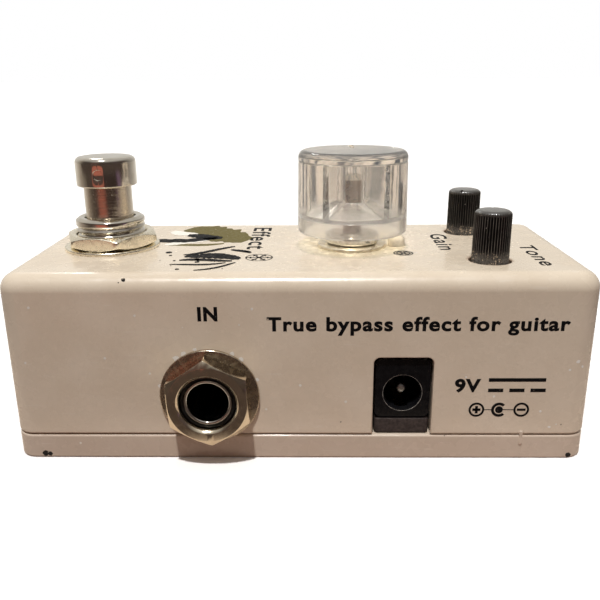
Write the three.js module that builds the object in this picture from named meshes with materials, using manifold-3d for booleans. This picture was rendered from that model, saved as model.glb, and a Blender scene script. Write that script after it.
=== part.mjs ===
// A mini guitar effects pedal: a die-cast box with a footswitch, one large clear knob, two small
// knobs, two 6.35 mm jacks and a 9 V power socket. Millimetres, +Z up. The origin is on the
// underside, in the middle of the footprint. +X is the end with the small knobs, -X the footswitch
// end, -Y the side with the input jack and the power socket, +Y the side with the output jack.

import * as THREE from "three";
import { mergeVertices } from "three/addons/utils/BufferGeometryUtils.js";
import Module from "manifold-3d";

const wasm = await Module();
wasm.setup();

// ---------------------------------------------------------------- driving dimensions
const box = { length: 93.5, width: 40, height: 31.2, corner: 3.25, topRound: 2.75, wall: 2 };
const base = { height: 4.2, floor: 1.6, rim: 2.5, edge: 0.35 };
const seam = 0.15; // open joint between the base plate and the shell
const fit = 0.1; // clearance between pieces that rest on or sit in each other
const clear = 0.3; // clearance beside a piece that moves
const post = { x: 41.6, y: 14.9, radius: 3.4, hole: 1.7, holeTop: 14 };
const screw = { head: 2.85, shank: 1.5, sunk: 0.3, headDepth: 1.4, top: 11, slot: 0.8 };
const board = { bottom: 18.1, thickness: 1.6, xMin: -23.8, xMax: 44.2, halfWidth: 17.6 };
const foot = { x: -33.5, cap: 5.1, stem: 4.05, bushing: 5.9, bore: 4.25 };
const footNut = { flats: 14.5, hole: 6, countersink: 6.3, height: 2.3, turn: 21 };
const dial = { x: 9.3, radius: 9.55, bottom: 33.9, top: 47.95, lens: 1.7, shaft: 1.58, bushing: 3.4 };
const dialNut = { radius: 4.75, hole: dial.bushing + fit, height: 1.8, chamfer: 0.35 };
const smallDial = { x: 31.2, y: 10.8, foot: 3, crown: 2.95, bottom: 30.3, top: 39.55, shaft: 2 };
const led = { x: 17.2, radius: 1.5, flange: 1.9, top: 33.4 };
const jack = { z: 11.25, inputX: -14.2, outputX: 0, bore: 3.25, ferrule: 3.75, collar: 4.45 };
const jackNut = { flats: 12.7, hole: jack.collar + fit, countersink: 4.95, height: 3 };
const power = { x: 16.65, z: 11.45, width: 9.0, slot: 9.4, slotTop: 17.7, hole: 3.15, recess: 0.6 };

const boardTop = board.bottom + board.thickness;
const ceiling = box.height - box.wall;
const washerTop = fit / 2 + 0.5; // above the surface that a washer lies on
const nutBottom = washerTop + fit / 2;

// ---------------------------------------------------------------- materials
function finish(color, roughness, metalness) {
  return new THREE.MeshStandardMaterial({ color, roughness, metalness });
}
const paint = () => finish(0xd9cbb4, 0.3, 0.1);
const nickel = () => finish(0xc2bdb2, 0.22, 1);
const steel = () => finish(0x9a9a9c, 0.35, 1);
const brass = () => finish(0xb49a5a, 0.35, 1);
const blackPlastic = () => finish(0x17171a, 0.45, 0);
const blueStock = () => finish(0x2a3f7a, 0.5, 0);
const greenStock = () => finish(0x1f5a36, 0.55, 0);
const redPlastic = () => finish(0x9c2f2a, 0.5, 0);
const foamRubber = () => finish(0x2c2a29, 0.9, 0);
function clearPlastic() {
  const material = finish(0xe9eef0, 0.08, 0);
  material.transparent = true;
  material.opacity = 0.35;
  return material;
}

// ---------------------------------------------------------------- joining and cutting
// Gives the closed solid that a geometry bounds, with its shared vertices merged.
function solid(geometry) {
  const plain = geometry.index ? geometry.toNonIndexed() : geometry.clone();
  plain.deleteAttribute("normal");
  plain.deleteAttribute("uv");
  const merged = mergeVertices(plain, 1e-4);
  const corners = merged.index.array;
  const kept = [];
  for (let i = 0; i < corners.length; i += 3) {
    const [a, b, c] = [corners[i], corners[i + 1], corners[i + 2]];
    if (a !== b && b !== c && c !== a) kept.push(a, b, c);
  }
  const vertProperties = new Float32Array(merged.attributes.position.array);
  const triVerts = new Uint32Array(kept);
  return new wasm.Manifold(new wasm.Mesh({ numProp: 3, vertProperties, triVerts }));
}

function geometryOf(manifold) {
  const mesh = manifold.getMesh();
  const geometry = new THREE.BufferGeometry();
  geometry.setAttribute("position", new THREE.BufferAttribute(mesh.vertProperties, 3));
  geometry.setIndex(new THREE.BufferAttribute(mesh.triVerts, 1));
  geometry.computeVertexNormals();
  return geometry;
}

function join(...geometries) {
  return geometryOf(geometries.map(solid).reduce((whole, piece) => whole.add(piece)));
}

function cut(geometry, ...tools) {
  return geometryOf(tools.map(solid).reduce((whole, tool) => whole.subtract(tool), solid(geometry)));
}

function common(first, second) {
  return geometryOf(solid(first).intersect(solid(second)));
}

// ---------------------------------------------------------------- basic forms
// A block from its lowest to its highest corner.
function block(low, high) {
  const size = high.map((value, axis) => value - low[axis]);
  const geometry = new THREE.BoxGeometry(...size);
  return geometry.translate(low[0] + size[0] / 2, low[1] + size[1] / 2, low[2] + size[2] / 2);
}

// A solid of revolution about Z. The profile runs anticlockwise as [radius, height] points and
// starts and ends on the axis, or is closed on itself.
function turned(profile, sides = 24) {
  const points = profile.map(([radius, height]) => new THREE.Vector2(radius, height));
  return new THREE.LatheGeometry(points, sides).rotateX(Math.PI / 2);
}

function disc(radius, bottom, top, sides = 24) {
  return turned([[0, bottom], [radius, bottom], [radius, top], [0, top]], sides);
}

function ring(inner, outer, bottom, top, sides = 24) {
  return turned([[inner, bottom], [outer, bottom], [outer, top], [inner, top], [inner, bottom]], sides);
}

// Points of a quarter circle from angle `from` to angle `to`, in degrees.
function arc(centre, radius, from, to, steps = 3) {
  return Array.from({ length: steps + 1 }, (_, i) => {
    const angle = THREE.MathUtils.degToRad(from + ((to - from) * i) / steps);
    return [centre[0] + radius * Math.cos(angle), centre[1] + radius * Math.sin(angle)];
  });
}

function roundedRectangle(length, width, radius) {
  const [x, y] = [length / 2 - radius, width / 2 - radius];
  const quarter = Math.PI / 2;
  return new THREE.Shape()
    .absarc(x, y, radius, 0, quarter)
    .absarc(-x, y, radius, quarter, 2 * quarter)
    .absarc(-x, -y, radius, 2 * quarter, 3 * quarter)
    .absarc(x, -y, radius, 3 * quarter, 4 * quarter);
}

function slab(shape, bottom, top, curveSegments = 2) {
  const options = { depth: top - bottom, bevelEnabled: false, curveSegments };
  return new THREE.ExtrudeGeometry(shape, options).translate(0, 0, bottom);
}

// A slab of a rounded rectangle whose top and bottom edges are rounded by `round`.
function roundedSlab(length, width, radius, bottom, top, round, bevelSegments) {
  const shape = roundedRectangle(length - 2 * round, width - 2 * round, radius - round);
  const depth = top - bottom - 2 * round;
  const bevel = { bevelEnabled: true, bevelSize: round, bevelThickness: round, bevelSegments };
  const options = { depth, curveSegments: 3, ...bevel };
  return new THREE.ExtrudeGeometry(shape, options).translate(0, 0, bottom + round);
}

// A hexagon nut on the Z axis with its corners turned off and its hole countersunk at the top.
function hexNut({ flats, hole, countersink, height }, bottom, turn) {
  const top = bottom + height;
  const cornerRadius = flats / Math.sqrt(3);
  const hexagon = disc(cornerRadius, bottom, top, 6).rotateZ(THREE.MathUtils.degToRad(turn));
  const drop = (cornerRadius - flats / 2) * 0.6;
  const crown = turned([
    [0, bottom],
    [cornerRadius, bottom],
    [cornerRadius, top - drop],
    [flats / 2, top],
    [0, top],
  ]);
  const bore = turned([
    [0, bottom - 1],
    [hole, bottom - 1],
    [hole, top - (countersink - hole)],
    [countersink, top],
    [countersink, top + 1],
    [0, top + 1],
  ]);
  return cut(common(hexagon, crown), bore);
}

// A round nut on the Z axis with chamfered rims.
function roundNut({ radius, hole, height, chamfer }, bottom) {
  const top = bottom + height;
  return turned([
    [hole, bottom],
    [radius - chamfer, bottom],
    [radius, bottom + chamfer],
    [radius, top - chamfer],
    [radius - chamfer, top],
    [hole, top],
    [hole, bottom],
  ]);
}

// ---------------------------------------------------------------- assembly helper
function part(name, geometry, material, x = 0, y = 0, z = 0) {
  const mesh = new THREE.Mesh(geometry, material);
  mesh.name = name;
  mesh.position.set(x, y, z);
  return mesh;
}

const corners = [[-1, -1], [1, -1], [1, 1], [-1, 1]];

// ---------------------------------------------------------------- enclosure
function enclosureShell() {
  const { length, width, height, corner, topRound, wall } = box;
  const bottom = base.height + seam;
  const below = bottom - 2 * topRound;
  const outside = roundedSlab(length, width, corner, below, height, topRound, 3);
  const trimmed = cut(outside, block([-length, -width, below - 1], [length, width, bottom]));
  const inside = slab(roundedRectangle(length - 2 * wall, width - 2 * wall, 1.5), bottom - 1, ceiling);
  const hollow = cut(trimmed, inside);
  const posts = corners.map(([i, j]) =>
    disc(post.radius, bottom, ceiling + 1, 16).translate(i * post.x, j * post.y, 0));
  const postHoles = corners.map(([i, j]) =>
    disc(post.hole, bottom - 1, post.holeTop, 12).translate(i * post.x, j * post.y, 0));
  return cut(
    join(hollow, ...posts),
    ...postHoles,
    panelHole(foot.x, 0, foot.bushing + fit),
    panelHole(dial.x, 0, dial.bushing + fit),
    panelHole(led.x, 0, led.radius + fit),
    panelHole(smallDial.x, -smallDial.y, smallDial.foot + 0.8),
    panelHole(smallDial.x, smallDial.y, smallDial.foot + 0.8),
    sideHole(jack.inputX, -1),
    sideHole(jack.outputX, 1),
    powerSlot(),
  );
}

function panelHole(x, y, radius) {
  return disc(radius, ceiling - 1, box.height + 1).translate(x, y, 0);
}

function sideHole(x, side) {
  const middle = side * (box.width / 2 - box.wall / 2);
  return disc(jack.collar + clear, -2, 2).rotateX(Math.PI / 2).translate(x, middle, jack.z);
}

// The slot for the power socket, open at the shell's lower edge, with two rounded upper corners.
function powerSlot() {
  const tall = power.slotTop - base.height + 3;
  const shape = roundedRectangle(power.slot, tall, 1);
  const tool = slab(shape, -2, 2).rotateX(Math.PI / 2);
  return tool.translate(power.x, -box.width / 2 + box.wall / 2, power.slotTop - tall / 2);
}

function basePlate() {
  const { height, floor, rim, edge } = base;
  const plate = roundedSlab(box.length, box.width, box.corner, 0, height, edge, 1);
  const pocket = slab(
    roundedRectangle(box.length - 2 * rim, box.width - 2 * rim, 1.5), floor, height + 1);
  const bosses = corners.map(([i, j]) =>
    disc(post.radius + 0.6, 0.5, height, 16).translate(i * post.x, j * post.y, 0));
  const shankHole = screw.shank + 0.2;
  const headHole = screw.head + 0.2;
  const countersinks = corners.map(([i, j]) =>
    turned([
      [0, -1],
      [headHole, -1],
      [headHole, screw.sunk],
      [shankHole, screw.sunk + screw.headDepth],
      [shankHole, height + 1],
      [0, height + 1],
    ], 12).translate(i * post.x, j * post.y, 0));
  return cut(join(cut(plate, pocket), ...bosses), ...countersinks);
}

// A countersunk screw that enters from below, with a cross slot in its head.
function baseScrew() {
  const { head, shank, sunk, headDepth, top, slot } = screw;
  const bottom = sunk + 0.1;
  const body = turned([
    [0, bottom],
    [head, bottom],
    [shank, bottom + headDepth],
    [shank, top - 0.5],
    [shank - 0.5, top],
    [0, top],
  ], 12);
  const along = block([-1.8, -slot / 2, -1], [1.8, slot / 2, bottom + 0.9]);
  const across = block([-slot / 2, -1.8, -1], [slot / 2, 1.8, bottom + 0.9]);
  return cut(body, along, across);
}

// ---------------------------------------------------------------- circuit board and its parts
function mainBoard() {
  const { xMin, xMax, halfWidth, bottom } = board;
  const plate = block([xMin, -halfWidth, bottom], [xMax, halfWidth, boardTop]);
  const reach = post.radius + 0.5;
  const notches = [-1, 1].map((side) => {
    const inner = post.y - reach;
    const [y0, y1] = side > 0 ? [inner, 20] : [-20, -inner];
    return block([post.x - reach, y0, 0], [box.length, y1, box.height]);
  });
  return cut(plate, ...notches);
}

function opAmpChip() {
  const notch = disc(0.8, 3, 4, 12).translate(-4.8, 0, 0);
  return cut(block([-4.8, -3.2, fit], [4.8, 3.2, 3.4]), notch);
}

function capacitor() {
  const radius = 2.5;
  const height = 7;
  return turned([
    [0, fit],
    [radius, fit],
    [radius, 1.2],
    [radius - 0.15, 1.5],
    [radius, 1.8],
    [radius, height - 0.4],
    [radius - 0.3, height],
    [0, height],
  ], 16);
}

// ---------------------------------------------------------------- footswitch
const bushingTop = 36.8;
const capBottom = 42.2;
const capTop = 47.3;
const frameTop = 25.7; // metal plate that the threaded bushing stands on
const frameThickness = 0.8;
const housing = { half: 8.3, bottom: 11, top: 24.8, cavity: 5.6, floor: 13.5 };
const collar = { radius: 5.2, bottom: 23.2, top: 24.6 };

function footswitchCap() {
  const { cap } = foot;
  const round = 1;
  const shape = turned([
    [0, capBottom],
    [cap - 0.25, capBottom],
    [cap, capBottom + 0.25],
    ...arc([cap - round, capTop - 0.25 - round], round, 0, 75),
    [0, capTop],
  ]);
  const socket = disc(2.9, capBottom - 1, 44.9, 24);
  const dimple = disc(0.9, -0.5, 0.35, 16).rotateX(Math.PI / 2).translate(0, -cap, 44.4);
  return cut(shape, socket, dimple);
}

function footswitchPlunger() {
  const { stem } = foot;
  return turned([
    [0, 19],
    [2, 19],
    [2, collar.bottom],
    [collar.radius, collar.bottom],
    [collar.radius, collar.top],
    [stem, collar.top],
    [stem, capBottom - fit],
    [2.8, capBottom - fit],
    [2.8, 44.7],
    [0, 44.7],
  ]);
}

// The threaded bushing: a collar that stands on the frame, and a sleeve that the nuts clamp.
function footswitchBushing() {
  const { bushing, bore } = foot;
  return turned([
    [bore, frameTop + fit],
    [6.8, frameTop + fit],
    [6.8, 26.5],
    [bushing, 26.5],
    [bushing, bushingTop - 0.6],
    [bushing - 0.6, bushingTop],
    [bore + 0.5, bushingTop],
    [bore, bushingTop - 0.5],
    [bore, frameTop + fit],
  ]);
}

// A thin washer with teeth that bite the underside of the panel.
function lockWasher(inner, outer, bottom, top, teeth = 10) {
  const plain = ring(inner, outer, bottom, top, 2 * teeth);
  const gaps = Array.from({ length: teeth }, (_, i) =>
    block([outer - 1.1, -0.5, bottom - 1], [outer + 1, 0.5, top + 1])
      .rotateZ((2 * Math.PI * i) / teeth));
  return cut(plain, ...gaps);
}

function footswitchFrame() {
  const half = housing.half;
  const legOut = half + fit + frameThickness;
  const plate = block([-half, -legOut, frameTop - frameThickness], [half, legOut, frameTop]);
  const legs = [-1, 1].map((side) => {
    const [y0, y1] = side > 0 ? [half + fit, legOut] : [-legOut, -half - fit];
    return block([-4, y0, 15], [4, y1, frameTop]);
  });
  return cut(join(plate, ...legs), disc(foot.stem + clear, 20, 30));
}

function footswitchHousing() {
  const { half, bottom, top, cavity, floor } = housing;
  const body = slab(roundedRectangle(2 * half, 2 * half, 0.8), bottom, top);
  return cut(body, disc(cavity, floor, top + 1));
}

// A compression spring under the plunger's collar: a round wire along a helix.
function footswitchSpring() {
  const wire = 0.35;
  const radius = 4;
  const turns = 4;
  const low = housing.floor + fit + wire;
  const high = collar.bottom - fit - wire;
  const stepsPerTurn = 10;
  const helix = Array.from({ length: turns * stepsPerTurn + 1 }, (_, i) => {
    const share = i / (turns * stepsPerTurn);
    const angle = 2 * Math.PI * turns * share;
    const height = low + (high - low) * share;
    return new THREE.Vector3(radius * Math.cos(angle), radius * Math.sin(angle), height);
  });
  const section = new THREE.Shape().absarc(0, 0, wire, 0, 2 * Math.PI);
  const extrudePath = new THREE.CatmullRomCurve3(helix);
  const options = { steps: turns * stepsPerTurn, extrudePath, curveSegments: 3, bevelEnabled: false };
  return new THREE.ExtrudeGeometry(section, options);
}

const lug = { pitch: 4.8, halfWidth: 0.8, halfThickness: 0.4, bottom: 6.5 };
const switchBoard = { half: 8.3, bottom: 5, top: 6.2 };

function footswitchLugs() {
  const { pitch, halfWidth, halfThickness, bottom } = lug;
  const top = housing.bottom - fit;
  return Array.from({ length: 9 }, (_, i) => {
    const shape = block([-halfWidth, -halfThickness, bottom], [halfWidth, halfThickness, top]);
    const column = (i % 3) - 1;
    const row = Math.floor(i / 3) - 1;
    return part(`footswitch_lug_${i + 1}`, shape, brass(), column * pitch, row * pitch, 0);
  });
}

function footswitchBoard() {
  const { half, bottom, top } = switchBoard;
  return slab(roundedRectangle(2 * half, 2 * half, 1), bottom, top);
}

// A flat cable that leaves the switch board, bends up and ends under the main board's edge.
function footswitchRibbon() {
  const start = foot.x + switchBoard.half + clear;
  const x = board.xMin + 1.2;
  const z = (switchBoard.bottom + switchBoard.top) / 2;
  const bend = 1.2;
  const top = board.bottom - fit;
  const half = 0.25;
  const shape = new THREE.Shape();
  shape.moveTo(start, z - half);
  shape.absarc(x - bend, z + bend, bend + half, -Math.PI / 2, 0);
  shape.lineTo(x + half, top);
  shape.lineTo(x - half, top);
  shape.absarc(x - bend, z + bend, bend - half, 0, -Math.PI / 2, true);
  shape.lineTo(start, z + half);
  return slab(shape, -6, 6).rotateX(Math.PI / 2);
}

function footswitch() {
  const group = new THREE.Group();
  group.position.set(foot.x, 0, 0);
  const panel = box.height;
  const innerNut = { ...footNut, height: 1.8 };
  group.add(
    part("footswitch_cap", footswitchCap(), nickel()),
    part("footswitch_plunger", footswitchPlunger(), steel()),
    part("footswitch_bushing", footswitchBushing(), nickel()),
    part("footswitch_nut", hexNut(footNut, panel + nutBottom, footNut.turn), nickel()),
    part("footswitch_washer", ring(6.1, 8.25, panel + fit / 2, panel + washerTop), nickel()),
    part("footswitch_lock_washer", lockWasher(6.1, 8.4, ceiling - 0.65, ceiling - fit / 2), steel()),
    part("footswitch_inner_nut", hexNut(innerNut, 26.6, footNut.turn), nickel()),
    part("footswitch_frame", footswitchFrame(), steel()),
    part("footswitch_housing", footswitchHousing(), blueStock()),
    part("footswitch_spring", footswitchSpring(), steel()),
    part("footswitch_board", footswitchBoard(), greenStock()),
    ...footswitchLugs(),
  );
  return group;
}

// ---------------------------------------------------------------- large clear knob and its control
const hub = { radius: 3.3, bore: dial.shaft + 0.08, top: 43.8 };
const lensBottom = dial.top - dial.lens;
const cone = { low: 35.6, high: 38.6, outer: 8, thickness: 0.9 };
const rib = { count: 5, halfThickness: 0.55, turn: 0.35 };
const dialPot = { halfX: 4.9, halfY: 5.5, height: 6.6, bore: 2 };

// The knob's body: an outer wall, a cone-shaped floor, a hub for the shaft and radial ribs. It is
// open at the top, where the lens closes it.
function clearKnobBody() {
  const { radius, bottom } = dial;
  const wallInner = radius - 1.5;
  const shape = turned([
    [hub.bore, cone.high - cone.thickness],
    [cone.outer, cone.low],
    [cone.outer, bottom],
    [radius - 0.4, bottom],
    [radius, bottom + 0.4],
    [radius, lensBottom - fit],
    [wallInner, lensBottom - fit],
    [wallInner, cone.low + 1.1],
    [hub.radius, cone.high + 0.1],
    [hub.radius, lensBottom - fit],
    [hub.bore, lensBottom - fit],
    [hub.bore, cone.high - cone.thickness],
  ], 32);
  const { count, halfThickness, turn } = rib;
  const low = [hub.radius - 0.3, -halfThickness, cone.high];
  const high = [wallInner + 0.3, halfThickness, lensBottom - fit];
  const ribs = Array.from({ length: count }, (_, i) =>
    block(low, high).rotateZ((2 * Math.PI * i) / count + turn));
  return join(shape, ...ribs);
}

function clearKnobLens() {
  const round = 1.1;
  const { radius, top } = dial;
  const shape = turned([
    [0, lensBottom],
    [radius, lensBottom],
    ...arc([radius - round, top - round], round, 0, 90),
    [0, top],
  ], 32);
  const pointer = block([-0.4, 2.5, top - 0.3], [0.4, radius - 1.5, top + 1]);
  return cut(shape, pointer);
}

function dialShaft() {
  const { shaft } = dial;
  const body = turned([
    [0, 28.5],
    [shaft, 28.5],
    [shaft, hub.top - 0.3],
    [shaft - 0.3, hub.top],
    [0, hub.top],
  ]);
  const slotHalf = 0.3;
  return cut(body, block([-shaft - 1, -slotHalf, hub.top - 1.2], [shaft + 1, slotHalf, hub.top + 1]));
}

// The control's mounting plate with its threaded sleeve.
function dialBushing() {
  const bore = hub.bore;
  const [plateBottom, plateTop, sleeveTop] = [26.4, 27.2, 33.8];
  const { halfX, halfY } = dialPot;
  const plate = cut(block([-halfX, -halfY, plateBottom], [halfX, halfY, plateTop]), disc(bore, 20, 30));
  const sleeve = turned([
    [bore, plateBottom + 0.2],
    [dial.bushing, plateBottom + 0.2],
    [dial.bushing, sleeveTop - 0.3],
    [dial.bushing - 0.25, sleeveTop],
    [bore, sleeveTop],
    [bore, plateBottom + 0.2],
  ]);
  return join(plate, sleeve);
}

function controlBody({ halfX, halfY, height, bore }) {
  const body = block([-halfX, -halfY, boardTop + fit], [halfX, halfY, boardTop + height]);
  return cut(body, disc(bore, boardTop + height - 1, boardTop + height + 1, 24));
}

function mainControl() {
  const group = new THREE.Group();
  group.position.set(dial.x, 0, 0);
  const panel = box.height;
  group.add(
    part("main_knob", clearKnobBody(), clearPlastic()),
    part("main_knob_lens", clearKnobLens(), clearPlastic()),
    part("main_pot_shaft", dialShaft(), steel()),
    part("main_pot_bushing", dialBushing(), nickel()),
    part("main_pot_body", controlBody(dialPot), blackPlastic()),
    part("main_pot_nut", roundNut(dialNut, panel + nutBottom), nickel()),
    part("main_pot_washer", ring(dialNut.hole, 6.1, panel + fit / 2, panel + washerTop), nickel()),
  );
  return group;
}

// ---------------------------------------------------------------- small black knobs
const smallShaftTop = 36.6;
const smallPot = { halfX: 4.7, halfY: 4.7, height: 5.6, bore: smallDial.shaft + 0.2 };

// A slightly tapered knob with a rounded crown and a pointer notch.
function smallKnob() {
  const { foot: wide, crown, bottom, top, shaft } = smallDial;
  const shape = turned([
    [0, bottom],
    [wide, bottom],
    [crown, top - 0.9],
    ...arc([crown - 0.75, top - 0.85], 0.75, 20, 80),
    [0, top],
  ]);
  const bore = disc(shaft + fit, bottom - 1, smallShaftTop + 0.2, 16);
  const pointer = block([-0.25, 1.2, top - 0.35], [0.25, wide + 1, top + 1]);
  return cut(shape, bore, pointer);
}

function smallControl(name, side) {
  const group = new THREE.Group();
  group.position.set(smallDial.x, side * smallDial.y, 0);
  const { shaft } = smallDial;
  const shaftBottom = boardTop + smallPot.height - 0.8;
  const shaftShape = turned([
    [0, shaftBottom],
    [shaft, shaftBottom],
    [shaft, smallShaftTop - 0.4],
    [shaft - 0.4, smallShaftTop],
    [0, smallShaftTop],
  ], 16);
  group.add(
    part(`${name}_knob`, smallKnob(), blackPlastic()),
    part(`${name}_pot_shaft`, shaftShape, blackPlastic()),
    part(`${name}_pot_body`, controlBody(smallPot), blackPlastic()),
  );
  return group;
}

// ---------------------------------------------------------------- status light
function statusLight() {
  const group = new THREE.Group();
  group.position.set(led.x, 0, 0);
  const flangeBottom = ceiling - 1.1;
  const lens = turned([
    [0, flangeBottom],
    [led.flange, flangeBottom],
    [led.flange, ceiling - fit],
    [led.radius, ceiling - fit],
    ...arc([0, led.top - led.radius], led.radius, 0, 90),
  ], 16);
  const spacer = ring(0.9, 2, boardTop + fit, flangeBottom - fit, 16);
  group.add(part("status_led", lens, clearPlastic()), part("led_spacer", spacer, blackPlastic()));
  return group;
}

// ---------------------------------------------------------------- 6.35 mm jacks
// Each jack is drawn with +Z pointing out of the box and z = 0 at the shell's outer face.
const jackBody = { half: 6.4, up: board.bottom - 11.25 - fit, down: 6.1, back: -27, front: -2.1 };
const jackFace = 2.5;

function jackHousing() {
  const { half, up, down, back, front } = jackBody;
  const body = block([-half, -down, back], [half, up, front]);
  const collarShape = disc(jack.collar, front - 0.5, jackFace);
  return cut(join(body, collarShape), disc(jack.ferrule + fit, back - 1, jackFace + 1));
}

function jackFerrule() {
  const { bore, ferrule } = jack;
  const mouth = jackFace + 0.2;
  return turned([
    [bore, -16],
    [ferrule, -16],
    [ferrule, mouth - 0.2],
    [ferrule - 0.2, mouth],
    [bore + 0.3, mouth],
    [bore, mouth - 0.3],
    [bore, -16],
  ]);
}

// A leaf spring above the plug's tip, bowed towards the axis.
function tipSpring() {
  const shape = new THREE.Shape();
  shape.moveTo(-25.5, 3.3);
  shape.lineTo(-23, 3.1);
  shape.lineTo(-20.5, 2.4);
  shape.lineTo(-18, 3.1);
  shape.lineTo(-18, 3.4);
  shape.lineTo(-20.5, 2.7);
  shape.lineTo(-23, 3.4);
  shape.lineTo(-25.5, 3.6);
  const strip = slab(shape, -0.9, 0.9);
  return strip.rotateY(-Math.PI / 2);
}

function jackSocket(name, x, side, nutTurn) {
  const group = new THREE.Group();
  group.position.set(x, (side * box.width) / 2, jack.z);
  group.rotation.set(Math.PI / 2, side > 0 ? Math.PI : 0, 0);
  group.add(
    part(`${name}_jack_body`, jackHousing(), blackPlastic()),
    part(`${name}_jack_ferrule`, jackFerrule(), nickel()),
    part(`${name}_jack_nut`, hexNut(jackNut, nutBottom, nutTurn), nickel()),
    part(`${name}_jack_washer`, ring(jackNut.hole, 8, fit / 2, washerTop), nickel()),
    part(`${name}_jack_tip_spring`, tipSpring(), brass()),
  );
  return group;
}

// ---------------------------------------------------------------- power socket
const socket = { depth: 14.2, holeDepth: 9.5, bottom: 7.1, pin: 1 };
const noseHeight = power.slotTop - clear - fit - socket.bottom;
const noseDepth = box.wall; // the nose is the part of the socket that stands in the shell's slot

function powerSocket() {
  const group = new THREE.Group();
  const face = -box.width / 2 + power.recess;
  group.position.set(power.x, face, 0);
  const half = power.width / 2;
  const nose = slab(roundedRectangle(power.width - 2 * fit, noseHeight, 1.1), 0, noseDepth + fit)
    .rotateX(-Math.PI / 2)
    .translate(0, 0, socket.bottom + fit + noseHeight / 2);
  const rear = block([-half, noseDepth, socket.bottom], [half, socket.depth, board.bottom - fit]);
  const body = join(nose, rear);
  const alongY = (shape) => shape.rotateX(-Math.PI / 2).translate(0, 0, power.z);
  const hole = alongY(disc(power.hole, -1, socket.holeDepth));
  const pinHole = alongY(disc(socket.pin + fit, 5, socket.depth + 1, 20));
  const springGap = block([-1.1, 1.4, power.z - 4.1], [1.1, socket.holeDepth, power.z]);
  const pin = turned([
    [0, 1.4],
    [socket.pin - 0.4, 1.4],
    [socket.pin, 1.9],
    [socket.pin, socket.depth - 0.2],
    [0, socket.depth - 0.2],
  ], 16);
  const spring = block([-0.9, 1.8, power.z - 3.75], [0.9, socket.holeDepth - 0.3, power.z - 3.45]);
  group.add(
    part("power_socket_body", cut(body, hole, pinHole, springGap), blackPlastic()),
    part("power_socket_pin", alongY(pin), nickel()),
    part("power_socket_spring", spring, brass()),
  );
  return group;
}

function powerPad() {
  const half = power.width / 2 - 0.1;
  const front = -box.width / 2 + power.recess;
  const shape = roundedRectangle(2 * half, 5.5, 0.6);
  const pad = slab(shape, base.height + fit, socket.bottom - fit);
  return pad.translate(power.x, front + 2.75, 0);
}

// ---------------------------------------------------------------- the pedal
const pedal = new THREE.Group();
pedal.name = "effects_pedal";
pedal.add(
  part("enclosure_shell", enclosureShell(), paint()),
  part("base_plate", basePlate(), paint()),
  ...corners.map(([i, j], index) =>
    part(`base_screw_${index + 1}`, baseScrew(), steel(), i * post.x, j * post.y, 0)),
  part("main_board", mainBoard(), greenStock()),
  part("op_amp_chip", opAmpChip(), blackPlastic(), -9, -5, boardTop),
  part("capacitor", capacitor(), blueStock(), -9, 8, boardTop),
  footswitch(),
  part("footswitch_ribbon", footswitchRibbon(), redPlastic()),
  mainControl(),
  smallControl("tone", -1),
  smallControl("gain", 1),
  statusLight(),
  jackSocket("input", jack.inputX, -1, 3.5),
  jackSocket("output", jack.outputX, 1, 17),
  powerSocket(),
  part("power_socket_pad", powerPad(), foamRubber()),
);

export default pedal;
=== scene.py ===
import math
import random
from types import SimpleNamespace

import bmesh
import bpy
from mathutils import Matrix, Vector, noise


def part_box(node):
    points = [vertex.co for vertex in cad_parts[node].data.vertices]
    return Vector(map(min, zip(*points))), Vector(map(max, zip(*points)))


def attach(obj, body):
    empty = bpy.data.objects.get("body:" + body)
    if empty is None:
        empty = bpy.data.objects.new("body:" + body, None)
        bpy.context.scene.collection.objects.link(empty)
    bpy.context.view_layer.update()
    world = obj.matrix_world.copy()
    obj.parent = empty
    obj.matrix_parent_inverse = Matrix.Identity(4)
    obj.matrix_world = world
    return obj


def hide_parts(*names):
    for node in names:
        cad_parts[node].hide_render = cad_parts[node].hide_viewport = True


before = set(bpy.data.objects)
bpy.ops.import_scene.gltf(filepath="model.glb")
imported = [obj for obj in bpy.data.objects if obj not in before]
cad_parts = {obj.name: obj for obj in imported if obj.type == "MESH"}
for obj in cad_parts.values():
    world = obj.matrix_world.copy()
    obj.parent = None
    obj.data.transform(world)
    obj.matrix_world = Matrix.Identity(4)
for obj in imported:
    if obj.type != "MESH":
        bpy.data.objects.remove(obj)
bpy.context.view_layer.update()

# A micro guitar effects pedal. Shapes are drawn in millimetres and scaled once, when a piece is made.
MM = 0.001
CHASSIS, BUTTON, DIAL = "chassis", "footswitch_button", "main_dial"

# Sizes that a node's box does not tell.
CORNER = 3.25  # the enclosure's upright corners
CROWN = 2.75  # the round between its top and its sides
WALL = 2.0
LIP = 0.4  # the round on the shell's lower edge and the base's upper edge
HEX_ROUND = 0.25  # the worn corners of a nut
KNOB_RIBS = 42  # on each small knob
KNOB_DRAFT = 0.15  # how much the clear knob narrows to its top
FOOT_NUT_TURN = 51  # how far each nut is turned, in degrees
JACK_NUT_TURNS = {"input": 33.5, "output": 47}
INK = 0.02  # how far print stands on the paint


def span(node):
    """A CAD node's box at rest, in millimetres: its low, high and middle points, and its size."""
    low, high = (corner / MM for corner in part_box(node))
    return SimpleNamespace(low=low, high=high, mid=(low + high) / 2, size=high - low)


shell = span("enclosure_shell")
base = span("base_plate")
foot_cap = span("footswitch_cap")
dial_body = span("main_knob")
main_shaft = span("main_pot_shaft")
tone, gain = span("tone_knob"), span("gain_knob")
led = span("status_led")
jacks = {"input": (span("input_jack_ferrule"), -1), "output": (span("output_jack_ferrule"), 1)}
socket = span("power_socket_body")
screws = [span(f"base_screw_{k}") for k in range(1, 5)]
TOP = shell.high.z
FRONT = shell.low.y
SHAFT = main_shaft.size.x / 2
SHAFT_BORE = SHAFT + 0.08


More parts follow.
